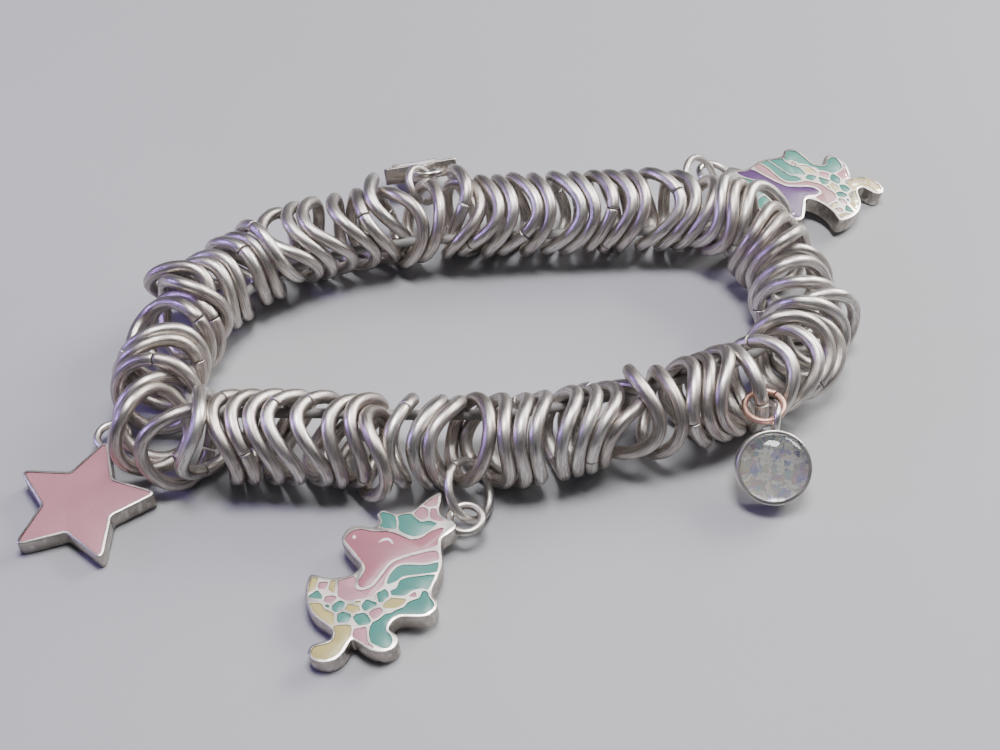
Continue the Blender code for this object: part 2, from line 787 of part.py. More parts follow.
def build_star(route, name, parts, cutters, metal, enamel):
    empty = charm_empty(route, name, parts)
    edge = star_edge(name)
    rim = STAR_RIM * CHARMS[name]["size"]
    plate = slab(name + "_plate", edge, 0, PLATE, parts)
    union(plate, [eyelet_of(name, parts)])
    cutter = hide(slab(name + "_pocket", star_edge(name, rim), PLATE - RECESS, PLATE + RECESS, cutters))
    cutter.parent = empty
    difference(plate, [cutter])
    finish(plate, metal, empty)
    low = PLATE - RECESS + GAP
    fill = slab(name + "_enamel", star_edge(name, rim + GAP), low, low + ENAMEL, parts)
    finish(fill, enamel, empty)


def hide(cutter):
    cutter.hide_render = True
    cutter.display_type = "WIRE"
    return cutter


def build_unicorn(route, name, parts, cutters, metal, enamels):
    empty = charm_empty(route, name, parts)
    plate = slab(name + "_plate", smooth_outline(UNICORN_EDGE, 2), 0, PLATE, parts)
    union(plate, [eyelet_of(name, parts)])
    low = PLATE - RECESS + GAP
    for area, corners in UNICORN_POCKETS.items():
        pocket = smooth_outline(corners, 2)
        cutter = hide(slab(f"{name}_{area}_pocket", pocket, PLATE - RECESS, PLATE + RECESS, cutters))
        cutter.parent = empty
        difference(plate, [cutter])
        fill = slab(f"{name}_{area}_enamel", inset(pocket, GAP), low, low + ENAMEL, parts)
        finish(fill, enamels[area], empty)
    finish(plate, metal, empty)


def turned(name, profile, segments, collection):
    """A profile of radius and height pairs turned about Z, from its top outside down to its foot."""
    work = bmesh.new()
    points = [work.verts.new((radius, 0, height)) for radius, height in profile]
    for one, two in zip(points, points[1:]):
        work.edges.new((one, two))
    bmesh.ops.spin(
        work,
        geom=work.verts[:] + work.edges[:],
        axis=(0, 0, 1),
        cent=(0, 0, 0),
        angle=2 * math.pi,
        steps=segments,
    )
    bmesh.ops.remove_doubles(work, verts=work.verts, dist=1e-7)
    bmesh.ops.recalc_face_normals(work, faces=work.faces)
    mesh = bpy.data.meshes.new(name)
    work.to_mesh(mesh)
    work.free()
    return link_object(name, mesh, collection)


def build_cabochon(route, parts, metal, glass):
    name = "cabochon"
    empty = charm_empty(route, name, parts)
    radius, inner = CABOCHON_RADIUS, CABOCHON_RADIUS - CABOCHON_WALL
    cup_profile = (
        (0, CABOCHON_FLOOR),
        (inner, CABOCHON_FLOOR),
        (inner, CABOCHON_CUP),
        (radius, CABOCHON_CUP),
        (radius, 0),
        (0, 0),
    )
    cup = turned(name + "_cup", cup_profile, 24, parts)
    union(cup, [eyelet_of(name, parts)])
    finish(cup, metal, empty)
    edge, low = inner - GAP, CABOCHON_FLOOR + GAP
    rise = CABOCHON_CUP + CABOCHON_RISE
    sweep = [math.radians(a) for a in (90, 60, 30, 0)]
    crown = [(edge * math.cos(a), CABOCHON_CUP + CABOCHON_RISE * math.sin(a)) for a in sweep]
    crown[0] = (0, rise)
    dome = turned(name + "_dome", [*crown, (edge, low), (0, low)], 24, parts)
    finish(dome, glass, empty)


def main():
    for old in list(bpy.data.objects):
        bpy.data.objects.remove(old)
    parts = bpy.data.collections.new("charm_bracelet")
    cutters = bpy.data.collections.new("cutters")
    for collection in (parts, cutters):
        bpy.context.scene.collection.children.link(collection)
    silver = material("silver_plate", (0.62, 0.59, 0.56), 0.3, 1.0)
    copper = material("copper_wire", (0.72, 0.43, 0.34), 0.3, 1.0)
    pink = material("pink_enamel", (0.72, 0.38, 0.43), 0.2, 0.0)
    purple = material("purple_enamel", (0.30, 0.19, 0.42), 0.2, 0.0)
    teal = material("teal_enamel", (0.16, 0.47, 0.43), 0.2, 0.0)
    glass = material("clear_dome", (0.75, 0.75, 0.70), 0.1, 0.0)
    route, length = closed_route()
    build_band(route, length, parts, silver)
    build_star(route, "star", parts, cutters, silver, pink)
    build_star(route, "back_star", parts, cutters, silver, pink)
    for name, face in (("unicorn_front", pink), ("unicorn_back", purple)):
        enamels = {"face": face, "mane": teal, "forelock": teal}
        build_unicorn(route, name, parts, cutters, silver, enamels)
    build_cabochon(route, parts, silver, glass)
    for name in LINKS:
        jump_ring(route, name, parts, copper if name == "cabochon" else silver)


main()
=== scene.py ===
"""Looks of the stretch charm bracelet: wavy split rings on an elastic, with five charms on jump rings.

Lengths in the tables are in millimetres. Each ring and charm is modelled once, flat and at the origin, and
its copies are then laid where the bracelet's own parts lie.
"""

import math

import bmesh
import bpy
import numpy as np
from mathutils import Matrix, Vector


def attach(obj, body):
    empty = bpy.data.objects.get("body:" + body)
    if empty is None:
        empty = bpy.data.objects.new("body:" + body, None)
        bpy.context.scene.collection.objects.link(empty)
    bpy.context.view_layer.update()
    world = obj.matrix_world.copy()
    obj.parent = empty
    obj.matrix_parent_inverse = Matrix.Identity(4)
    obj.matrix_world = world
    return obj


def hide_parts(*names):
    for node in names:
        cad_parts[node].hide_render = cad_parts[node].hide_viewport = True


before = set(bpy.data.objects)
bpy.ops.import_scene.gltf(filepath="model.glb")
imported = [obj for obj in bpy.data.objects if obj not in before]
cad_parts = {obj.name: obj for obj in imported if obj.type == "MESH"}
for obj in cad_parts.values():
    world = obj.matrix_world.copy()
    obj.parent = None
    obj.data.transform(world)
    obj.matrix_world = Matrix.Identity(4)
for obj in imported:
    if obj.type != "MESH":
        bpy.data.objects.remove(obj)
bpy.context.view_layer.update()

MM = 0.001
TURN = 2 * math.pi
WIRE = 1.3
RING_RADIUS = 3.78
WIRE_SIDES = 14
RING_STEPS = 84
JUMP_STEPS = 64
WIRE_GIRTH = 4.1
SEAM = 0.1
SEAM_EDGE = 0.07
ELASTIC = 1.0
MERGED = 0.000002
NEAR = 0.001
UPRIGHT = 0.45
ROOT = "root"

# Each band ring: its middle, its turn as a rotation vector in radians, and the height and phase of its two waves
BAND_RINGS = (
    # arc 1
    (-28.1, -11.14, 4.35, 0.757, -1.957, -1.612, 0.72, 5.58),
    (-26.02, -10.4, 4.95, 0.924, -1.591, -1.164, 1.03, 1.48),
    (-23.34, -10.6, 4.6, 1.149, -1.473, -1.012, 0.88, 3.4),
    (-21.8, -10.54, 4.58, 0.914, -1.531, -0.883, 0.84, 4.05),
    (-19.96, -10.52, 4.59, 1.722, -0.98, -1.6, 1.11, 2.2),
    (-18.29, -10.57, 4.57, 1.342, -1.222, -1.322, 1.33, 3.14),
    # arc 2
    (-15.76, -10.66, 4.54, 0.953, -1.413, -0.998, 1.33, 4.08),
    (-13.78, -10.59, 4.29, 0.248, -1.403, -0.52, 1.1, 5.81),
    (-11.88, -10.49, 4.23, 1.119, -1.123, -1.522, 1.22, 2.97),
    (-10.39, -12.33, 4.43, 1.425, -0.926, -1.478, 0.94, 1.95),
    (-8.32, -10.82, 4.49, 0.856, -1.322, -1.001, 0.84, 5.45),
    # arc 3
    (-5.98, -10.89, 4.48, 1.499, -0.879, -1.759, 1.01, 3.54),
    (-4.5, -10.91, 4.47, 1.47, -0.902, -1.791, 1.05, 3.54),
    (-1.91, -10.78, 4.5, 0.938, -0.744, -1.26, 0.0, 5.41),
    (0.2, -10.7, 4.25, 0.805, -0.942, -0.634, 0.91, 5.49),
    (2.03, -10.59, 4.26, 1.246, -0.63, -1.531, 1.01, 3.58),
    (3.72, -10.34, 4.35, 1.37, -0.651, -1.675, 0.91, 3.41),
    # arc 4
    (6.46, -9.86, 4.48, 0.789, -1.184, -0.915, 0.71, 5.96),
    (8.03, -9.51, 4.48, 1.065, -0.971, -1.348, 0.63, 5.25),
    (9.54, -9.14, 4.45, 0.347, -1.193, -0.524, 0.77, 1.05),
    (11.2, -8.55, 4.38, 0.865, -0.828, -1.622, 1.06, 5.03),
    (12.91, -7.91, 4.92, 1.091, -0.772, -1.399, 1.28, 2.01),
    # arc 5
    (15.52, -7.29, 4.27, 1.216, -0.776, -1.309, 0.61, 1.99),
    (18.23, -6.48, 4.47, 1.486, -0.9, -1.073, 0.94, 4.93),
    (19.76, -5.99, 4.42, 1.565, -0.861, -1.012, 1.21, 4.89),
    (21.14, -5.51, 4.89, 1.095, -1.253, -0.616, 1.32, 6.18),
    (23.34, -4.49, 4.5, 1.38, -0.892, -0.892, 0.0, 4.32),
    (25.35, -3.52, 4.45, 0.974, -0.77, -0.605, 0.65, 1.36),
    # arc 6
    (27.67, -1.86, 4.28, 1.034, -0.51, -1.235, 0.71, 0.43),
    (28.26, -0.74, 4.95, 0.926, 0.035, -0.668, 0.85, 1.04),
    (29.56, 0.4, 3.79, 0.928, 0.003, -1.058, 0.87, 0.52),
    (30.12, 2.31, 4.36, 1.134, -0.021, -0.637, 1.04, 1.9),
    (32.14, 3.69, 4.09, 1.208, 0.178, 0.297, 0.63, 3.75),
    # arc 7
    (30.3, 6.14, 3.75, 1.124, -0.443, 0.549, 1.29, 4.43),
    (30.16, 8.47, 3.54, 0.966, 0.313, -0.347, 1.1, 1.59),
    (30.34, 10.51, 3.08, 0.894, 0.028, -0.076, 1.0, 2.85),
    (29.84, 11.72, 4.69, 1.238, -0.078, 1.233, 1.34, 4.43),
    (28.62, 13.83, 4.35, 1.299, 0.455, 0.493, 0.92, 1.92),
    (27.73, 15.29, 4.47, 1.255, 0.741, 0.238, 0.82, 0.89),
    # arc 8
    (27.23, 18.14, 4.57, 1.356, 0.573, 0.493, 1.16, 0.66),
    (24.47, 18.34, 4.88, 1.57, 1.06, 0.577, 1.21, 0.27),
    (23.28, 19.33, 4.89, 1.854, 0.641, 0.902, 1.14, 1.41),
    (20.98, 19.99, 4.5, 1.694, 1.416, 0.817, 0.0, 5.2),
    (18.94, 20.2, 4.41, 2.01, 1.045, 1.388, 0.69, 3.57),
    (16.98, 20.23, 4.55, 0.606, 1.798, 0.621, 1.3, 0.4),
    # arc 9
    (14.34, 20.11, 4.52, 1.366, 1.305, 1.201, 0.8, 2.17),
    (12.74, 20.04, 4.54, 1.666, 1.057, 1.516, 1.07, 3.04),
    (10.91, 20.0, 4.51, 1.497, 1.249, 1.378, 0.79, 2.58),
    (8.92, 19.83, 4.44, 0.73, 1.655, 0.675, 0.99, 0.13),
    (7.21, 19.79, 4.47, 1.17, 1.473, 1.055, 1.31, 1.28),
    # arc 10
    (4.62, 19.55, 4.48, 1.273, 1.361, 1.123, 0.85, 1.59),
    (2.79, 19.42, 4.52, 1.476, 1.249, 1.213, 1.34, 2.11),
    (0.89, 19.25, 4.5, 1.786, 0.857, 1.524, 0.97, 3.02),
    (-0.97, 18.98, 4.54, 1.033, 1.514, 0.674, 1.3, 0.9),
    (-3.19, 20.51, 4.91, 1.225, 1.061, 1.312, 0.97, 2.54),
    (-3.55, 19.02, 4.48, 1.494, 1.601, 1.132, 0.89, 2.64),
    # arc 11
    (-7.14, 18.7, 4.5, 1.344, 1.742, 1.181, 0.0, 6.14),
    (-9.47, 18.03, 4.48, 0.684, 1.717, 1.384, 0.81, 0.94),
    (-11.69, 19.02, 4.93, 0.523, 1.615, 1.318, 1.21, 4.65),
    (-12.79, 17.38, 4.52, 0.196, 1.56, 1.192, 0.81, 3.76),
    (-14.73, 16.78, 4.58, 0.915, 1.434, 1.825, 0.88, 6.21),
    # arc 12
    (-17.21, 16.03, 4.66, 0.727, 1.333, 1.687, 1.17, 5.8),
    (-18.82, 15.49, 4.59, 1.073, 1.173, 1.95, 0.89, 0.42),
    (-20.52, 14.68, 4.6, 0.874, 1.019, 2.049, 1.16, 0.5),
    (-22.41, 13.37, 4.93, 0.631, 1.339, 2.255, 0.73, 3.98),
    (-23.94, 12.66, 4.06, 0.14, 1.388, 1.57, 0.74, 1.61),
    (-25.18, 11.67, 4.19, 0.323, 1.485, 1.768, 0.68, 2.12),
    # arc 13
    (-27.02, 9.74, 4.02, 0.416, 1.561, 2.068, 1.24, 2.64),
    (-28.05, 8.43, 4.15, -1.034, -1.617, -2.429, 1.21, 3.96),
    (-30.22, 7.16, 4.51, 0.891, 1.872, 1.998, 1.2, 2.8),
    (-29.73, 5.08, 4.65, 1.013, 2.285, 1.761, 1.28, 0.86),
    (-30.09, 3.3, 3.69, 0.149, 2.633, 1.27, 0.6, 4.69),
    # arc 14
    (-30.76, 1.01, 4.91, -0.089, 2.787, 1.147, 1.2, 4.52),
    (-31.11, -1.29, 4.45, -0.073, -2.265, -1.867, 0.62, 1.96),
    (-31.3, -2.72, 4.44, -0.59, 2.22, 1.896, 0.72, 0.75),
    (-31.16, -5.31, 4.5, 0.028, 2.493, 1.836, 0.0, 1.8),
    (-30.71, -7.41, 3.67, 0.359, -2.306, -0.987, 0.7, 0.3),
    (-30.92, -9.93, 4.89, 0.27, -2.139, -1.035, 0.62, 2.14),
)
ARC_STARTS = (0, 6, 11, 17, 22, 28, 33, 39, 45, 50, 56, 61, 67, 72, 78)
ELASTIC_LINE = (
    (-27.1, -7.17), (-25.21, -7.48), (-22.8, -7.57), (-20.22, -7.58), (-17.57, -7.6),
    (-14.92, -7.66), (-12.29, -7.73), (-9.69, -7.79), (-7.11, -7.84), (-4.54, -7.85),
    (-2.0, -7.81), (0.5, -7.69), (2.93, -7.46), (5.31, -7.06), (7.7, -6.52),
    (10.11, -5.84), (12.57, -5.09), (15.06, -4.3), (17.51, -3.51), (19.88, -2.69),
    (22.12, -1.78), (24.19, -0.72), (25.85, 0.45), (26.93, 1.71), (27.53, 3.27),
    (27.75, 5.27), (27.62, 7.43), (27.19, 9.56), (26.44, 11.54), (25.36, 13.38),
    (24.01, 15.04), (22.48, 16.31), (21.03, 16.94), (19.06, 17.18), (16.62, 17.18),
    (14.06, 17.1), (11.48, 16.99), (8.9, 16.84), (6.31, 16.67), (3.71, 16.48),
    (1.09, 16.3), (-1.53, 16.13), (-4.13, 15.96), (-6.66, 15.76), (-9.1, 15.46),
    (-11.44, 15.02), (-13.7, 14.39), (-15.91, 13.55), (-18.1, 12.53), (-20.23, 11.36),
    (-22.22, 10.09), (-23.91, 8.71), (-25.23, 7.17), (-26.28, 5.34), (-27.12, 3.23),
    (-27.78, 0.98), (-28.19, -1.27), (-28.32, -3.45), (-28.11, -5.53), (-27.7, -6.83),
)
ELASTIC_HEIGHT = 4.50
# Jump rings, each with where its seam lies in degrees, and the charms that hang from them
LINKS = {
    "star": dict(middle=(-34.62, -6.24, 2.41), turn=(-1.058, 1.958, -0.763), radius=2.1, wire=0.75, seam=200),
    "unicorn_front": dict(middle=(-1.93, -15.5, 3.05), turn=(1.787, -1.78, -1.081), radius=2.7, wire=0.8, seam=120),
    "cabochon": dict(middle=(24.94, -7.96, 5.92), turn=(-2.645, 1.518, -0.08), radius=1.75, wire=0.6, seam=250),
    "unicorn_back": dict(middle=(22.37, 24.86, 4.21), turn=(-2.098, -1.021, 0.764), radius=2.9, wire=0.75, seam=140),
    "back_star": dict(middle=(-7.38, 22.49, 6.1), turn=(-1.871, -1.448, 0.675), radius=1.9, wire=0.75, seam=160),
}
CHARM_PLACES = {
    "star": dict(middle=(-36.87, -15.76, 0.32), turn=(0.041, -0.05, 1.378)),
    "unicorn_front": dict(middle=(-8.39, -23.29, 0.84), turn=(0.05, -0.064, 0.07)),
    "cabochon": dict(middle=(25.59, -12.13, 2.18), turn=(0.696, -0.03, -0.084)),
    "unicorn_back": dict(middle=(31.73, 26.02, 1.53), turn=(0.181, 0.044, 2.351)),
    "back_star": dict(middle=(-7.86, 28.18, 2.04), turn=(-0.421, -0.539, -1.279)),
}

# Charms, in millimetres from the middle of each charm's back
PLATE = 1.8
PLATE_EDGE = 0.12
STAR_EDGE = 0.16
POCKET_FLOOR = 0.9
POCKET_TOP = 2.3
ENAMEL_TOP = 1.74
LINE_TOP = 1.77
ENAMEL_GAP = 0.015
ENAMEL_EDGE = 0.05
STAR_ENAMEL_EDGE = 0.07
LINE_EDGE = 0.03
# The bend, in degrees, past which an edge stays crisp
SMOOTH_ANGLE = 35
WIRE_ANGLE = 50
THREAD_ANGLE = 60
EYELETS = {
    "star": dict(place=(7.9, 0.0), radius=1.45, wire=0.75),
    "unicorn_front": dict(place=(6.6, 4.8), radius=1.45, wire=0.75),
    "cabochon": dict(place=(0.0, 4.45), radius=1.2, wire=0.6),
    "unicorn_back": dict(place=(6.6, 4.8), radius=1.55, wire=0.75),
    "back_star": dict(place=(5.6, 0.0), radius=1.45, wire=0.65),
}
STAR_TIP = 6.45
STAR_NOTCH = 3.5
STAR_ROUNDING = 0.5
LEAST_ROUNDING = 0.16
STAR_RIM = 0.24
STAR_GAP = 0.02
NOTCH_CUT = 0.3
BACK_STAR_SIZE = 0.64
CUP_RADIUS = 3.4
CUP_WALL = 0.3
CUP_HEIGHT = 2.3
CUP_FLOOR = 1.3
CUP_LIP = 0.1
CUP_FOOT = 0.35
CUP_EDGE = 0.04
FLAKES = 0.08
FLAKES_HEIGHT = 1.36
FLAKES_INSET = 0.2
DOME_FLOOR = 1.42
DOME_RISE = 1.2
EYELID = ((-1.15, 2.55), (-0.75, 2.95), (-0.2, 2.95), (0.15, 2.5), (0.1, 2.3), (-0.25, 2.68), (-0.7, 2.7))
NOSTRIL = (-3.25, 3.4, 0.16, 0.2, 12)

UNICORN_EDGE = (
    (4.5, 7.3), (3.6, 6.9), (2.7, 6.2), (2.0, 5.6), (0.8, 5.45), (0.1, 5.6), (-0.6, 6.0), (-1.2, 5.5),
    (-1.0, 4.7), (-1.7, 4.2), (-2.5, 4.5), (-3.4, 4.5), (-4.1, 4.0), (-4.35, 3.2), (-4.0, 2.4), (-3.3, 1.3),
    (-2.75, 0.5), (-3.0, -0.05), (-3.7, -0.45), (-4.6, -0.6), (-5.6, -0.5), (-6.6, -0.1), (-7.1, -0.1),
    (-7.4, -0.9), (-7.5, -2.0), (-7.3, -3.2), (-6.7, -4.3), (-5.8, -5.1), (-5.25, -5.8), (-5.4, -6.5),
    (-6.1, -6.7), (-6.9, -6.9), (-7.25, -7.6), (-6.9, -8.3), (-6.0, -8.65), (-5.0, -8.5), (-4.2, -7.8),
    (-3.6, -6.8), (-3.0, -7.2), (-2.1, -7.9), (-1.1, -8.2), (-0.2, -8.0), (0.3, -7.4), (0.2, -6.7), (-0.4, -6.1),
    (-0.1, -5.4), (0.6, -5.05), (1.7, -5.2), (2.8, -5.2), (3.6, -4.6), (3.7, -3.8), (3.3, -3.2), (3.4, -2.5),
    (3.8, -1.7), (4.15, -0.8), (4.35, 0.1), (4.3, 1.4), (4.45, 2.4), (5.2, 2.9), (5.75, 3.5), (5.3, 4.3),
    (4.6, 4.7), (4.35, 5.5), (4.6, 6.6),
)

# The enamel cells by colour, each an outline in order round its edge
FACE_CELLS = (
    ((-2.69, -1.83), (-2.26, -1.78), (-1.75, -1.5), (-1.06, -0.6), (-0.37, 0.3), (0.11, 0.66), (1.22, 1.06),
     (2.35, 1.29), (3.47, 1.52), (3.92, 1.69), (4.05, 1.83), (4.13, 2.38), (4.57, 3.15), (4.61, 3.39),
     (4.4, 3.47), (3.98, 3.37), (3.38, 3.12), (2.6, 2.64), (1.97, 2.54), (1.58, 2.64), (0.56, 3.27),
     (-0.31, 3.64), (-1.45, 3.77), (-2.59, 4.13), (-3.19, 4.09), (-3.69, 3.87), (-4.01, 3.39), (-3.98, 2.97),
     (-3.29, 1.9), (-2.61, 0.84), (-2.37, 0.27), (-2.44, -0.3), (-2.93, -1.11), (-2.9, -1.56)),
)
MAUVE_CELLS = (
    ((-3.83, -3.03), (-3, -2.94), (-2.17, -2.84), (-1.09, -2.13), (-0.75, -1.74), (-0.61, -1.2), (-0.27, -0.57),
     (0.08, -0.14), (0.44, 0.12), (1.19, 0.25), (2.05, 0.15), (2.9, 0.04), (3.56, 0.11), (4.08, 0.3),
     (4.04, 0.94), (3.71, 1.18), (2.9, 1.14), (2.12, 0.98), (1.34, 0.82), (0.32, 0.5), (-0.25, 0.08),
     (-0.87, -0.77), (-1.5, -1.62), (-1.93, -1.92), (-2.38, -2.08), (-2.83, -2.08), (-3.15, -1.86),
     (-3.23, -1.56), (-3.13, -0.93), (-3.25, -0.68), (-3.43, -0.64), (-4.44, -0.87), (-4.65, -1.14),
     (-4.72, -2.28), (-4.51, -2.64)),
)
PINK_CELLS = (
    ((2.76, 4.53), (3.18, 4.59), (3.37, 5.04), (3.3, 5.58), (2.78, 5.84), (2.11, 5.28), (2.28, 4.95)),
    ((4.39, 4.14), (4.7, 4.26), (4.25, 4.77), (4.08, 5.49), (3.65, 5.58), (3.57, 5.43), (3.57, 4.56)),
    ((3.46, 5.79), (4.13, 5.88), (4.33, 6.6), (4.31, 6.95), (3.74, 6.68), (3.02, 6.12), (3.05, 5.97)),
    ((-1.84, -7.71), (-1.7, -7.68), (-2.02, -7.35), (-2.23, -6.99), (-2.29, -5.79), (-2.62, -5.7),
     (-3.25, -5.76), (-3.42, -6.06), (-3.44, -6.51), (-2.84, -7), (-2.23, -7.49)),
    ((-6.13, -1.62), (-5.83, -1.63), (-5.72, -1.56), (-5.57, -1.2), (-5.62, -0.95), (-6.28, -0.93),
     (-6.39, -1.44)),
    ((-5.27, -3.09), (-4.86, -2.76), (-4.84, -2.52), (-5.17, -2.35), (-5.71, -2.37), (-5.87, -2.64),
     (-5.88, -2.82)),
    ((-1.69, -4.98), (-1.27, -4.85), (-0.93, -4.5), (-0.88, -4.26), (-1.12, -3.95), (-1.63, -4.07),
     (-2.05, -4.32), (-2.01, -4.53)),
    ((1.67, -3.24), (1.88, -3.26), (2.03, -3.18), (1.91, -2.82), (1.72, -2.85), (1.43, -3.06), (1.43, -3.15)),
)
TEAL_CELLS = (
    ((0.18, 3.81), (0.41, 3.82), (0.52, 4.11), (0.41, 5.16), (-0.52, 5.69), (-0.67, 5.69), (-0.92, 5.43),
     (-0.76, 4.74), (-0.94, 4.26), (-0.55, 4.03)),
    ((1.96, 2.85), (2.42, 2.85), (2.81, 2.98), (3.8, 3.65), (4, 3.87), (4.02, 3.99), (3.38, 4.34), (2.69, 4.29),
     (2.21, 4.71), (1.82, 5.25), (0.71, 5.16), (0.72, 4.41), (0.72, 3.66), (1.4, 3.1)),
    ((-0.39, -1.74), (0.29, -1.55), (0.71, -1.23), (1.1, -1.09), (2.42, -1.04), (3.74, -0.99), (3.93, -0.63),
     (4.04, -0.08), (3.92, -0.03), (2.96, -0.18), (2.11, -0.07), (1.25, 0.04), (0.65, -0.02), (0.23, -0.29),
     (-0.19, -0.84), (-0.44, -1.38)),
    ((1, -3.03), (1.58, -2.66), (1.91, -2.55), (2.57, -2.48), (3.05, -2.58), (3.6, -1.5), (3.64, -1.26),
     (3.26, -1.18), (2.38, -1.22), (1.49, -1.25), (0.8, -1.42), (0.55, -1.65), (0.37, -2.13), (-0.15, -2.4),
     (-0.18, -2.52), (-0.11, -2.79), (0.02, -2.9)),
    ((-0.81, -7.86), (-0.43, -7.8), (-0.18, -7.38), (-0.21, -6.75), (-0.58, -6.3), (-0.64, -5.88),
     (-0.46, -5.43), (-0.1, -5.05), (0.26, -4.86), (0.59, -4.8), (1.58, -4.89), (2.57, -4.97), (2.99, -4.81),
     (3.32, -4.53), (3.44, -4.29), (3.45, -3.96), (3.08, -3.33), (2.93, -2.85), (2.54, -2.75), (2.3, -3.24),
     (2.09, -3.43), (1.34, -3.66), (0.88, -4.11), (0.12, -4.38), (-0.13, -4.56), (-0.73, -4.66), (-1.21, -5.06),
     (-1.69, -5.3), (-1.98, -5.64), (-2.08, -6.27), (-1.98, -7.05), (-1.6, -7.46)),
    ((-6.29, -2.58), (-6.13, -2.59), (-6.02, -2.37), (-6.28, -1.87), (-6.43, -1.74), (-6.64, -1.77),
     (-7.18, -2.16), (-7.12, -2.36)),
    ((-4.88, -3.99), (-4.3, -3.75), (-4.09, -3.27), (-4.18, -3.09), (-4.57, -2.91), (-5.12, -3.3), (-5.18, -3.72)),
    ((-4.35, -5.07), (-3.85, -5.03), (-3.69, -4.83), (-3.59, -4.5), (-3.76, -4.28), (-4.27, -4.04),
     (-4.69, -4.2), (-4.78, -4.38), (-4.75, -4.94)),
    ((-2.85, -5.49), (-2.17, -5.48), (-1.93, -5.22), (-2.1, -4.77), (-2.36, -4.41), (-2.5, -4.33),
     (-2.71, -4.31), (-3.22, -4.44), (-3.39, -4.65), (-3.38, -4.86), (-3.03, -5.4)),
    ((-2.34, -4.14), (-1.51, -3.78), (-1.38, -3.66), (-1.41, -3.54), (-1.54, -3.39), (-2.08, -3.09),
     (-2.36, -3.12), (-2.67, -3.57), (-2.52, -4.05)),
    ((-1.16, -3.45), (-1.06, -3.47), (-0.73, -3.29), (-0.35, -2.91), (-0.58, -2.23), (-1.1, -2.4),
     (-1.32, -2.58), (-1.27, -3.24)),
    ((-5.57, -3.51), (-5.43, -3.48), (-5.44, -3.3), (-5.59, -3.2), (-5.76, -3.21), (-5.76, -3.36)),
)
YELLOW_CELLS = (
    ((-6.08, -8.37), (-5.62, -8.39), (-5.17, -8.28), (-4.72, -7.98), (-4.42, -7.65), (-4, -6.87), (-3.71, -6.51),
     (-3.55, -5.73), (-3.82, -5.32), (-4.9, -5.29), (-5.07, -5.52), (-4.97, -5.94), (-5, -6.27), (-5.23, -6.68),
     (-5.62, -6.88), (-6.61, -7.06), (-6.84, -7.23), (-6.97, -7.59), (-6.85, -7.96), (-6.58, -8.19)),
    ((-7.15, -1.77), (-6.88, -1.67), (-6.66, -1.47), (-6.4, -0.57), (-6.51, -0.42), (-6.85, -0.32), (-7, -0.45),
     (-7.2, -1.32), (-7.23, -1.65)),
    ((-5.27, -5.25), (-5.12, -5.19), (-5.02, -5.01), (-5.05, -4.19), (-5.38, -3.85), (-5.83, -3.59),
     (-6.16, -3.02), (-7.06, -2.86), (-6.96, -3.33), (-6.55, -4.06), (-5.91, -4.65)),
    ((-5.12, -2.07), (-4.98, -2.04), (-4.92, -1.65), (-4.88, -0.93), (-5.02, -0.84), (-5.3, -0.9), (-5.49, -1.65)),
    ((-3.37, -4.23), (-2.86, -4.08), (-2.87, -3.69), (-2.98, -3.58), (-3.79, -3.33), (-4.01, -3.66),
     (-4.04, -3.84)),
    ((-0.11, -4.14), (0.26, -4.13), (0.74, -3.92), (1.04, -3.62), (1.06, -3.36), (-0.04, -3.12), (-0.19, -3.15),
     (-0.71, -3.54), (-0.91, -3.78), (-0.7, -4.06)),
    ((-3.03, -3.36), (-2.8, -3.33), (-2.75, -3.15), (-3.26, -3.15), (-3.27, -3.27)),
)
UNICORN_CELLS = {
    "face": FACE_CELLS, "mauve": MAUVE_CELLS, "pink": PINK_CELLS, "teal": TEAL_CELLS, "yellow": YELLOW_CELLS
}


# Finishes


def node(tree, kind, **settings):
    made = tree.nodes.new("ShaderNode" + kind)
    for name, value in settings.items():
        setattr(made, name, value)
    return made


def wire_up(tree, *pairs):
    for start, end in pairs:
        tree.links.new(start, end)


def feed(tree, socket, value):
    """Gives a socket a number, a colour or another node's output."""
    if isinstance(value, (int, float)):
        socket.default_value = value
    elif isinstance(value, tuple):
        socket.default_value = (*value, 1)
    else:
        tree.links.new(value, socket)


def group(name, inputs, outputs):
    """An empty shader node group with its named sockets, and its two end nodes."""
    tree = bpy.data.node_groups.new(name, "ShaderNodeTree")
    for socket, kind, value in inputs:
        made = tree.interface.new_socket(name=socket, in_out="INPUT", socket_type="NodeSocket" + kind)
        if value is not None:
            made.default_value = value
    for socket, kind in outputs:
        tree.interface.new_socket(name=socket, in_out="OUTPUT", socket_type="NodeSocket" + kind)
    return tree, tree.nodes.new("NodeGroupInput"), tree.nodes.new("NodeGroupOutput")


def math_node(tree, operation, *values):
    made = node(tree, "Math", operation=operation)
    for socket, value in zip(made.inputs, values):
        feed(tree, socket, value)
    return made.outputs[0]


def blend_colour(tree, factor, first, second, mode="MIX"):
    made = node(tree, "Mix", data_type="RGBA", blend_type=mode)
    for number, value in ((0, factor), (6, first), (7, second)):
        feed(tree, made.inputs[number], value)
    return made.outputs[2]


def noise(tree, vector, scale, detail, roughness, seed=None):
    made = node(tree, "TexNoise", noise_dimensions="4D" if seed else "3D")
    values = {"Vector": vector, "Scale": scale, "Detail": detail, "Roughness": roughness}
    if seed:
        values["W"] = seed
    for name, value in values.items():
        feed(tree, made.inputs[name], value)
    return made.outputs["Fac"]


def ranged(tree, value, low, high, to_low=0.0, to_high=1.0):
    made = node(tree, "MapRange", clamp=True)
    for socket, number in zip(made.inputs[1:5], (low, high, to_low, to_high)):
        socket.default_value = number
    tree.links.new(value, made.inputs[0])
    return made.outputs[0]


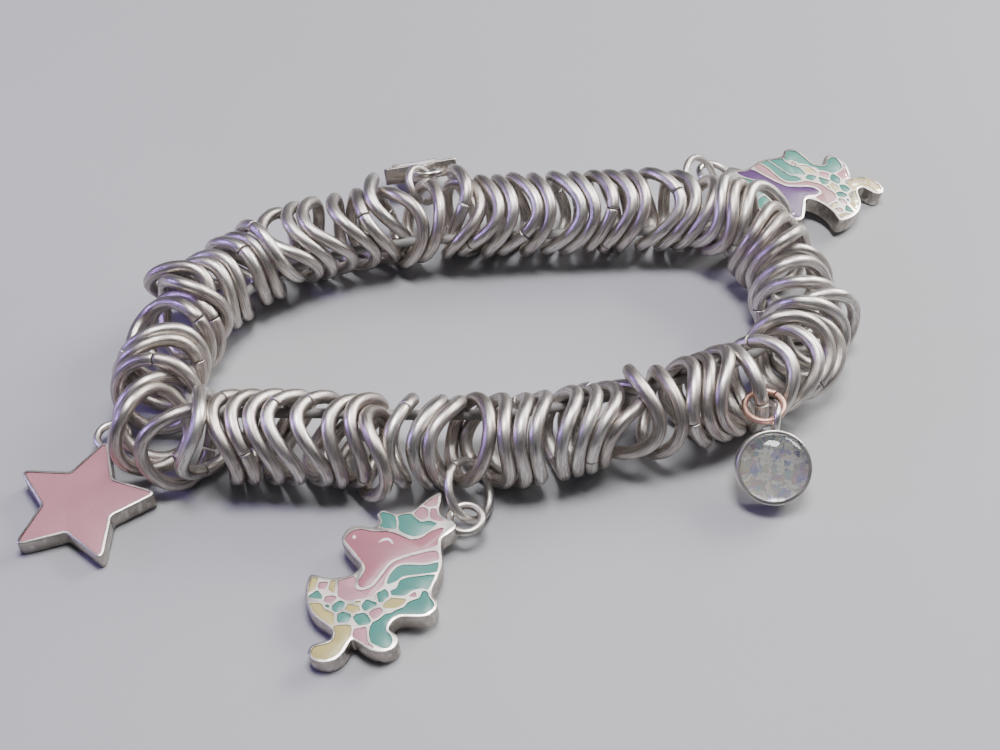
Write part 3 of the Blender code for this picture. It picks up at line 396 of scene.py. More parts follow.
def drawn_wire_group():
    """Marks of a drawing die along the wire, soft dents across it, and short dark lines of thin plating."""
    tree, start, end = group(
        "drawn_wire",
        [("Along Wire", "Vector", None), ("Ring", "Float", 0.0), ("Streak Depth", "Float", 1.0)],
        [("Streaks", "Float"), ("Dents", "Float"), ("Thin Plating", "Float"), ("Height", "Float")],
    )
    stretch = node(tree, "VectorMath", operation="MULTIPLY")
    stretch.inputs[1].default_value = (0.14, 3.0, 1)
    shorter = node(tree, "VectorMath", operation="MULTIPLY")
    shorter.inputs[1].default_value = (0.5, 4.2, 1)
    seed = math_node(tree, "MULTIPLY", start.outputs["Ring"], 37.0)
    along = start.outputs["Along Wire"]
    wire_up(tree, (along, stretch.inputs[0]), (along, shorter.inputs[0]))
    streaks = noise(tree, stretch.outputs[0], 2.2, 5.0, 0.72, seed)
    dents = noise(tree, along, 0.45, 2.0, 0.5, seed)
    lines = noise(tree, shorter.outputs[0], 2.0, 4.0, 0.65, seed)
    fine = ranged(tree, streaks, 0.38, 0.62)
    depth = math_node(tree, "MULTIPLY", fine, start.outputs["Streak Depth"])
    height = math_node(tree, "ADD", depth, math_node(tree, "MULTIPLY", dents, 2.2))
    wire_up(
        tree,
        (fine, end.inputs["Streaks"]),
        (ranged(tree, dents, 0.35, 0.65), end.inputs["Dents"]),
        (ranged(tree, lines, 0.54, 0.62), end.inputs["Thin Plating"]),
        (height, end.inputs["Height"]),
    )
    return tree


def handling_group():
    """Fine rubbing marks and a soft clouded film that handling leaves on a polished surface."""
    tree, start, end = group(
        "handling_marks",
        [("Vector", "Vector", None), ("Scale", "Float", 1.0)],
        [("Film", "Float"), ("Grain", "Float"), ("Rubs", "Float")],
    )
    scaled = node(tree, "VectorMath", operation="SCALE")
    wire_up(tree, (start.outputs["Vector"], scaled.inputs[0]), (start.outputs["Scale"], scaled.inputs["Scale"]))
    film = noise(tree, scaled.outputs[0], 300.0, 3.0, 0.55)
    grain = noise(tree, scaled.outputs[0], 5200.0, 2.0, 0.6)
    rub = node(tree, "VectorMath", operation="MULTIPLY")
    rub.inputs[1].default_value = (300, 4200, 900)
    wire_up(tree, (scaled.outputs[0], rub.inputs[0]))
    rubs = noise(tree, rub.outputs[0], 1.0, 2.0, 0.6)
    wire_up(
        tree,
        (ranged(tree, film, 0.35, 0.65), end.inputs["Film"]),
        (grain, end.inputs["Grain"]),
        (ranged(tree, rubs, 0.52, 0.72), end.inputs["Rubs"]),
    )
    return tree


wire_marks = drawn_wire_group()
marks = handling_group()


def placed_group(tree, made, **links):
    placed = tree.nodes.new("ShaderNodeGroup")
    placed.node_tree = made
    for name, value in links.items():
        feed(tree, placed.inputs[name.replace("_", " ")], value)
    return placed.outputs


def object_place(tree):
    return node(tree, "TexCoord").outputs["Object"]


def new_finish(name, roughness, metallic, **constants):
    made = bpy.data.materials.new(name)
    made.use_nodes = True
    tree = made.node_tree
    shader = tree.nodes["Principled BSDF"]
    shader.inputs["Roughness"].default_value = roughness
    shader.inputs["Metallic"].default_value = metallic
    for socket, value in constants.items():
        shader.inputs[socket.replace("_", " ")].default_value = value
    return made, tree, shader


def paint(tree, shader, colour, rough):
    wire_up(tree, (colour, shader.inputs["Base Color"]), (rough, shader.inputs["Roughness"]))


def raise_bump(tree, shader, height, strength, distance):
    bump = node(tree, "Bump")
    bump.inputs["Strength"].default_value = strength
    bump.inputs["Distance"].default_value = distance
    wire_up(tree, (height, bump.inputs["Height"]), (bump.outputs[0], shader.inputs["Normal"]))


def drawn_metal(name, light, dark, bare):
    """Plated round wire: satin, streaked along its length, with short dark lines and a tone of each ring's own."""
    made, tree, shader = new_finish(name, 0.3, 1.0)
    along = node(tree, "UVMap", uv_map="along_wire")
    ring = node(tree, "Attribute", attribute_name="ring_tone", attribute_type="GEOMETRY")
    tone = ring.outputs["Fac"]
    out = placed_group(tree, wire_marks, Along_Wire=along.outputs[0], Ring=tone, Streak_Depth=1.0)
    base = blend_colour(tree, out["Streaks"], dark, light)
    toned = blend_colour(tree, ranged(tree, tone, 0, 1, 0, 0.45), base, bare, "MULTIPLY")
    worn = math_node(tree, "MULTIPLY", out["Thin Plating"], 0.7)
    colour = blend_colour(tree, worn, toned, tuple(0.55 * c for c in dark))
    clouded = math_node(tree, "MULTIPLY", out["Dents"], 0.08)
    rough = math_node(tree, "ADD", ranged(tree, out["Streaks"], 0, 1, 0.42, 0.27), clouded)
    paint(tree, shader, colour, rough)
    raise_bump(tree, shader, out["Height"], 0.22, 0.00005)
    return made


def cast_metal(name, light, dark):
    """Cast and plated charm metal: a fine grain, a clouded film and rubbed lines."""
    made, tree, shader = new_finish(name, 0.3, 1.0)
    place = object_place(tree)
    out = placed_group(tree, marks, Vector=place, Scale=1.0)
    colour = blend_colour(tree, out["Film"], dark, light)
    colour = blend_colour(tree, math_node(tree, "MULTIPLY", out["Rubs"], 0.35), colour, (0.95, 0.92, 0.9))
    rough = ranged(tree, out["Film"], 0, 1, 0.42, 0.26)
    paint(tree, shader, colour, rough)
    raise_bump(tree, shader, out["Grain"], 0.25, 0.00003)
    return made


def enamel(name, colour, deep, sparkle=0.0):
    """Glossy fired enamel: its colour pools deeper in places, with pale specks and, in some colours, glitter."""
    made, tree, shader = new_finish(name, 0.4, 0.0, Specular_IOR_Level=0.32, Coat_Weight=0.08, Coat_Roughness=0.2)
    place = object_place(tree)
    out = placed_group(tree, marks, Vector=place, Scale=0.8)
    mixed = blend_colour(tree, ranged(tree, out["Film"], 0, 1, 0, 0.5), colour, deep)
    speck = noise(tree, place, 3600.0, 2.0, 0.6)
    paler = tuple(min(1, 1.35 * c) for c in colour)
    mixed = blend_colour(tree, ranged(tree, speck, 0.62, 0.75, 0, 0.3), mixed, paler)
    rough = ranged(tree, out["Rubs"], 0, 1, 0.36, 0.5)
    if sparkle:
        flakes = node(tree, "TexVoronoi", feature="F1")
        flakes.inputs["Scale"].default_value = 2400
        parts = node(tree, "SeparateColor")
        wire_up(tree, (place, flakes.inputs["Vector"]), (flakes.outputs["Color"], parts.inputs[0]))
        bright = ranged(tree, parts.outputs[0], 0.8 - sparkle * 0.4, 0.86)
        mixed = blend_colour(tree, math_node(tree, "MULTIPLY", bright, 0.8), mixed, (0.95, 0.93, 0.86))
        wire_up(tree, (math_node(tree, "MULTIPLY", bright, 0.75), shader.inputs["Metallic"]))
        rough = math_node(tree, "SUBTRACT", rough, math_node(tree, "MULTIPLY", bright, 0.12))
    paint(tree, shader, mixed, rough)
    raise_bump(tree, shader, out["Grain"], 0.1, 0.00002)
    return made


FLAKE_COLOURS = (
    (0.0, (0.02, 0.05, 0.22)),
    (0.12, (0.4, 0.46, 0.9)),
    (0.26, (0.72, 0.66, 0.95)),
    (0.4, (1.0, 0.66, 0.72)),
    (0.56, (0.95, 0.9, 0.65)),
    (0.7, (0.95, 0.97, 0.95)),
    (0.9, (0.6, 0.78, 0.9)),
)
# Flakes to a metre, the share of them left plain, and their edges
FLAKE_SIZES = ((1300, 0.45, "SMOOTH_F1"), (2700, 0.72, "F1"), (5200, 0.7, "F1"))


def glitter_finish(name):
    """Pearly flakes under the clear dome: large soft ones and small crisp ones, in five pale tints."""
    made, tree, shader = new_finish(name, 0.3, 0.5)
    place = object_place(tree)
    wobble = node(tree, "TexNoise")
    wobble.inputs["Scale"].default_value = 900
    bent = node(tree, "VectorMath", operation="MULTIPLY_ADD")
    bent.inputs[1].default_value = [0.0006] * 3
    wire_up(
        tree,
        (place, wobble.inputs["Vector"]),
        (wobble.outputs["Color"], bent.inputs[0]),
        (place, bent.inputs[2]),
    )
    colour = (0.76, 0.74, 0.67)
    shine = None
    for scale, share, feature in FLAKE_SIZES:
        flakes = node(tree, "TexVoronoi", feature=feature)
        flakes.inputs["Scale"].default_value = scale
        parts = node(tree, "SeparateColor")
        pick = node(tree, "ValToRGB")
        ramp = pick.color_ramp.elements
        while len(ramp) < len(FLAKE_COLOURS):
            ramp.new(1.0)
        for element, (at, shade) in zip(ramp, FLAKE_COLOURS):
            element.position = at
            element.color = (*shade, 1)
        wire_up(
            tree,
            (bent.outputs[0], flakes.inputs["Vector"]),
            (flakes.outputs["Color"], parts.inputs[0]),
            (parts.outputs[1], pick.inputs[0]),
        )
        here = ranged(tree, parts.outputs[0], share, share + 0.08)
        colour = blend_colour(tree, math_node(tree, "MULTIPLY", here, 0.62), colour, pick.outputs[0])
        shine = here if shine is None else math_node(tree, "MAXIMUM", shine, here)
    paint(tree, shader, colour, ranged(tree, shine, 0, 1, 0.55, 0.22))
    wire_up(tree, (ranged(tree, shine, 0, 1, 0.05, 0.4), shader.inputs["Metallic"]))
    raise_bump(tree, shader, shine, 0.35, 0.00008)
    return made


def clear_resin(name):
    """Clear poured resin with a faint clouded tint and fine rubs."""
    made, tree, shader = new_finish(name, 0.03, 0.0, IOR=1.49, Transmission_Weight=1.0)
    place = object_place(tree)
    out = placed_group(tree, marks, Vector=place, Scale=0.6)
    tint = blend_colour(tree, out["Film"], (0.97, 0.97, 0.95), (0.9, 0.91, 0.9))
    rough = ranged(tree, out["Rubs"], 0, 1, 0.02, 0.1)
    paint(tree, shader, tint, rough)
    return made


def rubber_finish(name):
    """Matt grey elastic with a fine grain."""
    made, tree, shader = new_finish(name, 0.55, 0.0)
    place = object_place(tree)
    grain = noise(tree, place, 1800.0, 3.0, 0.6)
    colour = blend_colour(tree, grain, (0.2, 0.19, 0.18), (0.3, 0.28, 0.27))
    wire_up(tree, (colour, shader.inputs["Base Color"]))
    raise_bump(tree, shader, grain, 0.3, 0.00004)
    return made


# Modelling


def clear_selection():
    if bpy.context.object and bpy.context.object.mode != "OBJECT":
        bpy.ops.object.mode_set(mode="OBJECT")
    bpy.ops.object.select_all(action="DESELECT")


def take(piece):
    clear_selection()
    piece.select_set(True)
    bpy.context.view_layer.objects.active = piece


def called(piece, name):
    piece.name = name
    piece.data.name = name
    return piece


def named(name):
    """Names the piece just made, and takes up its place and size in its points."""
    bpy.ops.object.transform_apply(location=True, rotation=True, scale=True)
    return called(bpy.context.object, name)


def edit(action="DESELECT"):
    bpy.ops.object.mode_set(mode="EDIT")
    bpy.ops.mesh.select_mode(type="VERT")
    bpy.ops.mesh.select_all(action=action)


def pick(piece, kind, test):
    """Selects the faces, edges or points that pass a test, in edit mode."""
    bpy.ops.mesh.select_mode(type={"faces": "FACE", "edges": "EDGE", "verts": "VERT"}[kind])
    bpy.ops.mesh.select_all(action="DESELECT")
    work = bmesh.from_edit_mesh(piece.data)
    for item in getattr(work, kind):
        item.select_set(bool(test(item)))
    work.select_flush_mode()
    bmesh.update_edit_mesh(piece.data)


def pick_at(piece, kind, height):
    """Selects the faces or edges that lie at a height."""
    pick(piece, kind, lambda item: all(abs(v.co.z - height * MM) < NEAR * MM for v in item.verts))


def lift(height):
    """Extrudes the chosen faces by a height in metres."""
    bpy.ops.mesh.extrude_region_move(TRANSFORM_OT_translate={"value": (0, 0, height)})


def ease(cut, segments, kind="EDGES"):
    bpy.ops.mesh.bevel(offset=cut * MM, segments=segments, affect=kind, clamp_overlap=True)


def outward_faces():
    bpy.ops.mesh.select_all(action="SELECT")
    bpy.ops.mesh.remove_doubles(threshold=MERGED)
    bpy.ops.mesh.normals_make_consistent(inside=False)
    bpy.ops.object.mode_set(mode="OBJECT")


def split_wire(name, radius, wire, steps):
    """A length of round wire bent into a ring about Z, with its two cut ends meeting at a hairline seam."""
    clear_selection()
    half = SEAM / radius / 2
    bpy.ops.mesh.primitive_circle_add(
        vertices=WIRE_SIDES,
        radius=wire / 2 * MM,
        location=(radius * MM * math.cos(half), radius * MM * math.sin(half), 0),
        rotation=(math.pi / 2, 0, half),
    )
    ring = named(name)
    edit("SELECT")
    bpy.ops.mesh.spin(steps=steps, angle=TURN - 2 * half, center=(0, 0, 0), axis=(0, 0, 1))
    pick(ring, "edges", lambda e: len(e.link_faces) == 1)
    bpy.ops.mesh.fill_holes(sides=0)
    pick(ring, "edges", lambda e: any(len(f.verts) > 4 for f in e.link_faces))
    bpy.ops.mesh.bevel(offset=SEAM_EDGE * wire * MM, offset_type="OFFSET", segments=2, affect="EDGES")
    outward_faces()
    mark_along_wire(ring, radius)
    return ring


def mark_along_wire(ring, radius):
    """Gives the wire its UV map: millimetres along it, and round it by one girth from its inner side."""
    points = np.array([v.co for v in ring.data.vertices]) / MM
    turn = (np.arctan2(points[:, 1], points[:, 0]) + TURN) % TURN
    out = np.hypot(points[:, 0], points[:, 1]) - radius
    round_wire = np.arctan2(points[:, 2], out) / TURN + 0.5
    layer = ring.data.uv_layers.new(name="along_wire")
    for face in ring.data.polygons:
        shares = round_wire[list(face.vertices)]
        wraps = shares.max() - shares.min() > 0.5
        for loop, vertex, share in zip(face.loop_indices, face.vertices, shares):
            share += 1 if wraps and share < 0.5 else 0
            layer.data[loop].uv = (turn[vertex] * radius, share * WIRE_GIRTH)


def whole_wire(name, eyelet, height, turned_up=False):
    """A cast eyelet: a closed round wire, flat in the charm's plane or standing up from it."""
    clear_selection()
    bpy.ops.mesh.primitive_torus_add(
        major_radius=eyelet["radius"] * MM,
        minor_radius=eyelet["wire"] / 2 * MM,
        major_segments=48,
        minor_segments=WIRE_SIDES,
        location=[c * MM for c in (*eyelet["place"], height)],
        rotation=(0, math.pi / 2, 0) if turned_up else (0, 0, 0),
    )
    return named(name)


def copied(piece, name):
    made = piece.copy()
    made.data = piece.data.copy()
    bpy.context.scene.collection.objects.link(made)
    return called(made, name)


def points_of(piece):
    flat = np.empty(len(piece.data.vertices) * 3)
    piece.data.vertices.foreach_get("co", flat)
    return flat.reshape(-1, 3)


def put_points(piece, points):
    piece.data.vertices.foreach_set("co", points.ravel())
    piece.data.update()


def set_tone(piece, tone):
    layer = piece.data.attributes.new("ring_tone", "FLOAT", "POINT")
    layer.data.foreach_set("value", np.full(len(piece.data.vertices), tone))


def place_matrix(middle, turn):
    """Where a ring or a charm lies: its middle in millimetres and its turn as a rotation vector."""
    turn = Vector(turn)
    return Matrix.Translation(Vector(middle) * MM) @ Matrix.Rotation(turn.length, 4, turn.normalized())


def bend_waves(ring, wave, phase, cut):
    """Bends a flat split ring into its two waves, with its seam turned to an angle."""
    points = points_of(ring) / MM
    turn = np.arctan2(points[:, 1], points[:, 0])
    out = np.hypot(points[:, 0], points[:, 1]) - RING_RADIUS
    up = points[:, 2]
    turn = turn + cut
    x, y = np.cos(turn), np.sin(turn)
    middle = np.stack([RING_RADIUS * x, RING_RADIUS * y, wave * np.cos(2 * turn + phase)], 1)
    outward = np.stack([x, y, np.zeros(len(turn))], 1)
    along = np.stack([-RING_RADIUS * y, RING_RADIUS * x, -2 * wave * np.sin(2 * turn + phase)], 1)
    side = np.cross(outward, along)
    side /= np.linalg.norm(side, axis=1)[:, None]
    put_points(ring, (middle + out[:, None] * outward + up[:, None] * side) * MM)


def paint_shade_on_sides(plate):
    """Marks the upright faces of a cast plate for a darker copy of its metal: painted shade on the side walls."""
    while len(plate.data.materials) < 2:
        plate.data.materials.append(None)
    for face in plate.data.polygons:
        face.material_index = int(abs(face.normal.z) < UPRIGHT)


def hand_over(piece, finishes, slot, *nodes, angle=SMOOTH_ANGLE):
    """Gives a finished piece its smooth shading, its finishes and its place in the bracelet."""
    take(piece)
    bpy.ops.object.shade_smooth_by_angle(angle=math.radians(angle))
    for number, finish in enumerate(finishes):
        if number == len(piece.data.materials):
            piece.data.materials.append(finish)
        piece.data.materials[number] = finish
    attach(piece, ROOT)
    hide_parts(*nodes)


def outline_points(corners, steps=4):
    """A smooth closed line through its corners."""
    corners = np.array(corners, float)
    share = np.arange(steps)[:, None] / steps
    stretches = []
    for i in range(len(corners)):
        before, start, end, after = (corners[(i + k) % len(corners)] for k in (-1, 0, 1, 2))
        stretches.append(
            start
            + 0.5 * (end - before) * share
            + 0.5 * (2 * before - 5 * start + 4 * end - after) * share**2
            + 0.5 * (3 * start - before - 3 * end + after) * share**3
        )
    return np.concatenate(stretches)


def flat_blank(name, outline, height):
    """A disc whose rim is drawn out to an outline, at a height."""
    clear_selection()
    bpy.ops.mesh.primitive_circle_add(vertices=len(outline), radius=MM, fill_type="NGON")
    blank = named(name)
    put_points(blank, np.column_stack([np.array(outline), np.full(len(outline), height)]) * MM)
    return blank


def cut_out(name, outline, low, high, soften=0.0):
    """A blank thickened between two heights, its upper edge softened."""
    blank = flat_blank(name, outline, low)
    edit("SELECT")
    lift((high - low) * MM)
    if soften:
        pick_at(blank, "edges", high)
        ease(soften, 2)
    outward_faces()
    return blank


def joined(name, pieces):
    clear_selection()
    for piece in pieces:
        piece.select_set(True)
    bpy.context.view_layer.objects.active = pieces[0]
    if len(pieces) > 1:
        bpy.ops.object.join()
    return called(bpy.context.object, name)


def boolean(piece, other, operation):
    cut = piece.modifiers.new(other.name, "BOOLEAN")
    cut.operation = operation
    cut.object = other
    cut.solver = "EXACT"
    take(piece)
    bpy.ops.object.modifier_apply(modifier=cut.name)
    bpy.data.objects.remove(other)
    edit("SELECT")
    bpy.ops.mesh.remove_doubles(threshold=MERGED)
    bpy.ops.mesh.dissolve_degenerate(threshold=MERGED / 2)
    bpy.ops.object.mode_set(mode="OBJECT")


def soft_edges(piece, width, segments, angle):
    bevel = piece.modifiers.new("edges", "BEVEL")
    bevel.width = width * MM
    bevel.segments = segments
    bevel.limit_method = "ANGLE"
    bevel.angle_limit = math.radians(angle)
    take(piece)
    bpy.ops.object.modifier_apply(modifier=bevel.name)


def star_corners(size, margin=0.0):
    """The ten sharp corners of a star, moved in by a margin, and how far its tips are then cut back."""
    fifth = math.pi / 5
    rounding = STAR_ROUNDING * size
    middle = STAR_TIP * size - rounding
    run = middle - STAR_NOTCH * size * math.cos(fifth)
    rise = STAR_NOTCH * size * math.sin(fifth)
    half = math.atan2(rise, run) - math.asin(rounding / math.hypot(run, rise))
    tip = middle + (rounding - margin) / math.sin(half)
    notch = STAR_NOTCH * size - margin / math.sin(half + fifth)
    corners = []
    for k in range(10):
        reach = notch if k % 2 else tip
        corners.append((reach * math.cos(k * fifth), reach * math.sin(k * fifth)))
    return corners, max(rounding - margin, LEAST_ROUNDING * size) / math.tan(half)


def star_blank(name, size, margin, low, high, soften=0.0):
    """A solid star between two heights: its tips cut round, its notches eased and its edges softened."""
    corners, back = star_corners(size, margin)
    blank = flat_blank(name, corners, low)
    notch = STAR_NOTCH * size * MM
    edit()
    pick(blank, "verts", lambda v: v.co.xy.length > notch + 0.4 * MM)
    ease(back, 6, "VERTICES")
    pick(blank, "verts", lambda v: v.co.xy.length < notch * 1.02)
    ease(NOTCH_CUT * size, 3, "VERTICES")
    bpy.ops.mesh.select_mode(type="FACE")
    bpy.ops.mesh.select_all(action="SELECT")
    lift((high - low) * MM)
    if soften:
        pick_at(blank, "edges", high)
        ease(soften, 3)
        pick_at(blank, "edges", low)
        ease(soften, 2)
    outward_faces()
    return blank


def make_star(name, eyelet, size):
    """A star plate with its rim and eyelet, and the enamel that fills it."""
    plate = star_blank(name + "_plate", size, 0, 0, PLATE, STAR_EDGE)
    rim, gap = STAR_RIM * size, STAR_GAP * size
    pocket = star_blank(name + "_pocket", size, rim, POCKET_FLOOR, POCKET_TOP)
    fill = star_blank(name + "_enamel", size, rim + gap, POCKET_FLOOR, ENAMEL_TOP, STAR_ENAMEL_EDGE)
    hoop = whole_wire(name + "_hoop", eyelet, PLATE / 2)
    boolean(plate, hoop, "UNION")
    boolean(plate, pocket, "DIFFERENCE")
    return plate, fill


def oval(x, y, wide, high, count):
    turns = [k * TURN / count for k in range(count)]
    return [(x + wide * math.cos(turn), y + high * math.sin(turn)) for turn in turns]


def shrunk(outline, by):
    """An outline drawn in a little, so that the enamel meets its wall without a shared face."""
    before = outline - np.roll(outline, 1, 0)
    after = np.roll(outline, -1, 0) - outline
    along = before / np.linalg.norm(before, axis=1)[:, None] + after / np.linalg.norm(after, axis=1)[:, None]
    along /= np.linalg.norm(along, axis=1)[:, None]
    x, y = outline.T
    facing = np.sign((x * np.roll(y, -1) - y * np.roll(x, -1)).sum())
    return outline + facing * by * np.stack([-along[:, 1], along[:, 0]], 1)


def make_unicorn(name, eyelet):
    """A unicorn's head: a plate with raised walls round its cells, and the enamel in each colour."""
    plate = cut_out(name + "_plate", outline_points(UNICORN_EDGE, 3), 0, PLATE, PLATE_EDGE)
    cells = [(colour, outline_points(cell)) for colour, shapes in UNICORN_CELLS.items() for cell in shapes]
    cutters, fills = [], {}
    for number, (colour, outline) in enumerate(cells):
        cutters.append(cut_out(f"{name}_cutter_{number}", outline, POCKET_FLOOR, POCKET_TOP))
        fill = cut_out(f"{name}_fill_{number}", shrunk(outline, ENAMEL_GAP), POCKET_FLOOR, ENAMEL_TOP, ENAMEL_EDGE)
        fills.setdefault(colour, []).append(fill)
    hoop = whole_wire(name + "_hoop", eyelet, PLATE / 2)
    boolean(plate, hoop, "UNION")
    boolean(plate, joined(name + "_cutter", cutters), "DIFFERENCE")
    pieces = {colour: joined(f"{name}_{colour}", made) for colour, made in fills.items()}
    lines = [
        cut_out(f"{name}_eyelid", outline_points(EYELID), POCKET_FLOOR, LINE_TOP, LINE_EDGE),
        cut_out(f"{name}_nostril", oval(*NOSTRIL), POCKET_FLOOR, LINE_TOP, LINE_EDGE),
    ]
    pieces["lines"] = joined(f"{name}_face_lines", lines)
    return plate, pieces


def make_cabochon(eyelet):
    """A round cup with its standing eyelet, the glitter on its floor and the clear dome that fills it."""
    clear_selection()
    bpy.ops.mesh.primitive_cylinder_add(
        vertices=64, radius=CUP_RADIUS * MM, depth=CUP_HEIGHT * MM, location=(0, 0, CUP_HEIGHT / 2 * MM)
    )
    cup = named("cabochon_cup_cast")
    edit()
    pick_at(cup, "edges", CUP_HEIGHT)
    bpy.ops.mesh.bevel(offset=CUP_LIP * MM, segments=3, affect="EDGES")
    pick_at(cup, "edges", 0)
    bpy.ops.mesh.bevel(offset=CUP_FOOT * MM, segments=4, affect="EDGES")
    pick_at(cup, "faces", CUP_HEIGHT)
    bpy.ops.mesh.inset(thickness=(CUP_WALL - CUP_LIP) * MM)
    lift((CUP_FLOOR - CUP_HEIGHT) * MM)
    outward_faces()
    hoop = whole_wire("cabochon_hoop", eyelet, CUP_HEIGHT / 2, turned_up=True)
    boolean(cup, hoop, "UNION")
    soft_edges(cup, CUP_EDGE, 2, WIRE_ANGLE)
    inner = CUP_RADIUS - CUP_WALL - STAR_GAP
    clear_selection()
    bpy.ops.mesh.primitive_uv_sphere_add(
        segments=64,
        ring_count=24,
        radius=inner * MM,
        location=(0, 0, CUP_HEIGHT * MM),
        scale=(1, 1, DOME_RISE / inner),
    )
    dome = named("cabochon_clear_dome")
    edit("SELECT")
    bpy.ops.mesh.bisect(plane_co=(0, 0, CUP_HEIGHT * MM), plane_no=(0, 0, 1), use_fill=True, clear_inner=True)
    pick_at(dome, "faces", CUP_HEIGHT)
    lift((DOME_FLOOR - CUP_HEIGHT) * MM)
    outward_faces()
    clear_selection()
    bpy.ops.mesh.primitive_cylinder_add(
        vertices=64, radius=inner * MM, depth=FLAKES * MM, location=(0, 0, FLAKES_HEIGHT * MM)
    )
    glitter = named("cabochon_glitter")
    edit()
    pick(glitter, "faces", lambda f: len(f.verts) > 4)
    bpy.ops.mesh.inset(thickness=FLAKES_INSET * MM)
    outward_faces()
    return cup, dome, glitter


def lay(piece, charm):
    place = CHARM_PLACES[charm]
    piece.data.transform(place_matrix(place["middle"], place["turn"]))


# Finishes of the bracelet

bright_wire = drawn_metal("bright_plated_wire", (0.88, 0.85, 0.81), (0.36, 0.32, 0.295), (0.5, 0.41, 0.35))
copper_wire = drawn_metal("copper_plated_wire", (0.83, 0.52, 0.42), (0.52, 0.3, 0.24), (0.45, 0.26, 0.2))
charm_metal = cast_metal("cast_charm_metal", (0.82, 0.77, 0.71), (0.64, 0.59, 0.54))
# The charm metal again, only darker: painted shade for the upright side walls of the plates.
shaded_side_finish = cast_metal("painted_shade_side_finish", (0.5, 0.45, 0.4), (0.27, 0.24, 0.21))
star_pink = enamel("star_pink_enamel", (0.42, 0.19, 0.215), (0.37, 0.16, 0.185))
face_pink = enamel("face_pink_enamel", (0.36, 0.14, 0.165), (0.31, 0.115, 0.14))
mauve = enamel("mauve_pink_enamel", (0.46, 0.23, 0.26), (0.39, 0.19, 0.22))
teal = enamel("teal_enamel_fill", (0.075, 0.235, 0.19), (0.055, 0.19, 0.155))
yellow = enamel("pale_yellow_enamel", (0.44, 0.37, 0.145), (0.36, 0.3, 0.11))
pearl = enamel("pearl_line", (0.78, 0.68, 0.68), (0.7, 0.6, 0.6))
purple = enamel("purple_enamel_fill", (0.1, 0.045, 0.14), (0.075, 0.032, 0.11))
back_mauve = enamel("back_mauve_enamel", (0.44, 0.24, 0.25), (0.37, 0.19, 0.21))
glitter_pink = enamel("glitter_pink_enamel", (0.6, 0.3, 0.32), (0.5, 0.23, 0.26), 0.45)
glitter_yellow = enamel("glitter_yellow_enamel", (0.6, 0.47, 0.24), (0.5, 0.38, 0.18), 0.6)
flakes = glitter_finish("holographic_flakes")
resin = clear_resin("clear_resin")
rubber = rubber_finish("elastic_thread")

# Band: one split ring, copied and bent for every place on the elastic

draw = np.random.default_rng(7)
ring_master = split_wire("ring_master", RING_RADIUS, WIRE, RING_STEPS)
for arc in range(len(ARC_STARTS) - 1):
    for number in range(ARC_STARTS[arc], ARC_STARTS[arc + 1]):
        *numbers, wave, phase = BAND_RINGS[number]
        ring = copied(ring_master, f"split_ring_{number + 1:02d}")
        bend_waves(ring, wave, phase, draw.uniform(0, TURN))
        ring.data.transform(place_matrix(numbers[:3], numbers[3:]))
        set_tone(ring, draw.uniform(0, 1))
        hand_over(ring, [bright_wire], "ring_silver", f"band_arc_{arc + 1:02d}", angle=WIRE_ANGLE)
bpy.data.objects.remove(ring_master)

clear_selection()
bpy.ops.mesh.primitive_circle_add(vertices=len(ELASTIC_LINE), radius=MM)
thread = named("elastic_thread_loop")
put_points(thread, np.array([(x, y, ELASTIC_HEIGHT) for x, y in ELASTIC_LINE]) * MM)
take(thread)
bpy.ops.object.convert(target="CURVE")
thread = bpy.context.object
thread.data.bevel_depth = ELASTIC / 2 * MM
thread.data.bevel_resolution = 3
bpy.ops.object.convert(target="MESH")
edit()
outward_faces()
hand_over(thread, [rubber], "elastic", "band_arc_01", angle=THREAD_ANGLE)

# Jump rings

for charm, link in LINKS.items():
    ring = split_wire(f"{charm}_jump_wire", link["radius"], link["wire"], JUMP_STEPS)
    ring.data.transform(Matrix.Rotation(math.radians(link["seam"]), 4, "Z"))
    ring.data.transform(place_matrix(link["middle"], link["turn"]))
    set_tone(ring, draw.uniform(0, 0.6))
    metal, slot = (copper_wire, "copper") if charm == "cabochon" else (bright_wire, "ring_silver")
    hand_over(ring, [metal], slot, charm + "_jump_ring", angle=WIRE_ANGLE)

# Charms

for charm, size in (("star", 1.0), ("back_star", BACK_STAR_SIZE)):
    plate, fill = make_star(charm + "_charm", EYELETS[charm], size)
    # Upright faces take the darker metal: painted shade on the side walls.
    paint_shade_on_sides(plate)
    lay(plate, charm)
    lay(fill, charm)
    hand_over(plate, [charm_metal, shaded_side_finish], "charm_silver", charm + "_plate")
    hand_over(fill, [star_pink if charm == "star" else pearl], "pink_enamel", charm + "_enamel")

front_tones = {"face": face_pink, "mauve": mauve, "pink": mauve, "yellow": yellow}
back_tones = {"face": purple, "mauve": back_mauve, "pink": glitter_pink, "yellow": glitter_yellow}
slots = {"mauve": "mauve_enamel", "pink": "pink_enamel", "teal": "teal_enamel"}
slots |= {"yellow": "yellow_enamel", "lines": "charm_silver"}
nodes = {"face": "face_enamel", "teal": "forelock_enamel"}
for charm, face_slot, tones in (
    ("unicorn_front", "pink_enamel", front_tones),
    ("unicorn_back", "purple_enamel", back_tones),
):
    slots["face"] = face_slot
    tones |= {"teal": teal, "lines": pearl}
    plate, pieces = make_unicorn(charm + "_charm", EYELETS[charm])
    # Upright faces take the darker metal: painted shade on the side walls.
    paint_shade_on_sides(plate)
    lay(plate, charm)
    hand_over(plate, [charm_metal, shaded_side_finish], "charm_silver", charm + "_plate")
    for colour, piece in pieces.items():
        lay(piece, charm)
        hand_over(piece, [tones[colour]], slots[colour], f"{charm}_{nodes.get(colour, 'mane_enamel')}")

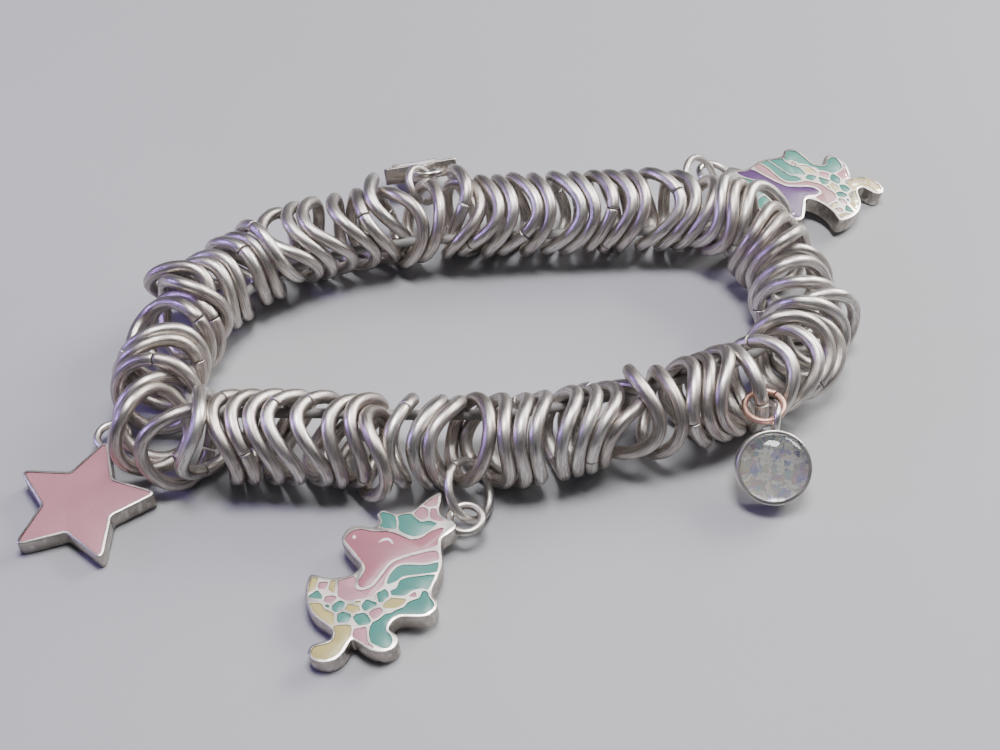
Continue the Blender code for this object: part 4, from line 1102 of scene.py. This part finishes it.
cup, dome, glitter = make_cabochon(EYELETS["cabochon"])
for piece, finish, slot, stands_for in (
    (cup, charm_metal, "charm_silver", "cabochon_cup"),
    (dome, resin, "clear_dome", "cabochon_dome"),
    (glitter, flakes, "glitter", "cabochon_dome"),
):
    lay(piece, "cabochon")
    hand_over(piece, [finish], slot, stands_for)

# Table, light and camera

clear_selection()
bpy.ops.mesh.primitive_grid_add(x_subdivisions=8, y_subdivisions=8, size=12, location=(0, 0, 0))
floor = named("pale_table")
table, tree, shader = new_finish("pale_table_top", 0.6, 0.0)
cloud = noise(tree, object_place(tree), 14.0, 3.0, 0.5)
wire_up(tree, (blend_colour(tree, cloud, (0.31, 0.31, 0.325), (0.37, 0.37, 0.38)), shader.inputs["Base Color"]))
floor.data.materials.append(table)


def stand(item, name, place, turn):
    """Puts a lamp or a camera in the studio."""
    made = bpy.data.objects.new(name, item)
    made.location = place
    made.rotation_euler = turn
    bpy.context.scene.collection.objects.link(made)
    return made


def softbox(name, place, width, height, power, colour):
    """A soft lamp, its size in metres, that faces the middle of the bracelet."""
    lamp = bpy.data.lights.new(name, "AREA")
    lamp.shape = "RECTANGLE"
    lamp.size, lamp.size_y = width, height
    lamp.energy = power
    lamp.color = colour
    stand(lamp, name, place, (-Vector(place)).to_track_quat("-Z", "Y").to_euler())


softbox("window", (0.34, 0.24, 0.24), 0.26, 0.2, 3.1, (1.0, 0.98, 0.96))
softbox("overhead", (0.02, 0.03, 0.42), 0.18, 0.12, 2.5, (0.98, 0.98, 1.0))
softbox("lilac_side", (-0.32, 0.0, 0.15), 0.018, 0.1, 0.5, (0.45, 0.3, 1.0))

sky = bpy.data.lights.new("soft_daylight", "SUN")
sky.energy = 0.55
sky.angle = math.radians(30)
sky.color = (0.97, 0.98, 1.0)
stand(sky, "soft_daylight", (0, 0, 0), Vector((0.5, 0.3, 1.0)).to_track_quat("Z", "Y").to_euler())

world = bpy.data.worlds.new("studio")
world.use_nodes = True
backdrop = world.node_tree.nodes["Background"]
backdrop.inputs["Color"].default_value = (0.42, 0.44, 0.5, 1)
backdrop.inputs["Strength"].default_value = 0.22
bpy.context.scene.world = world

lens = bpy.data.cameras.new("camera")
lens.lens = 54
lens.sensor_width = 36
lens.clip_start = 0.005
camera_place = (0.0008055, -0.0976038, 0.1096919)
camera_tilt = math.radians(42)
bpy.context.scene.camera = stand(lens, "camera", camera_place, (camera_tilt, 0, 0))
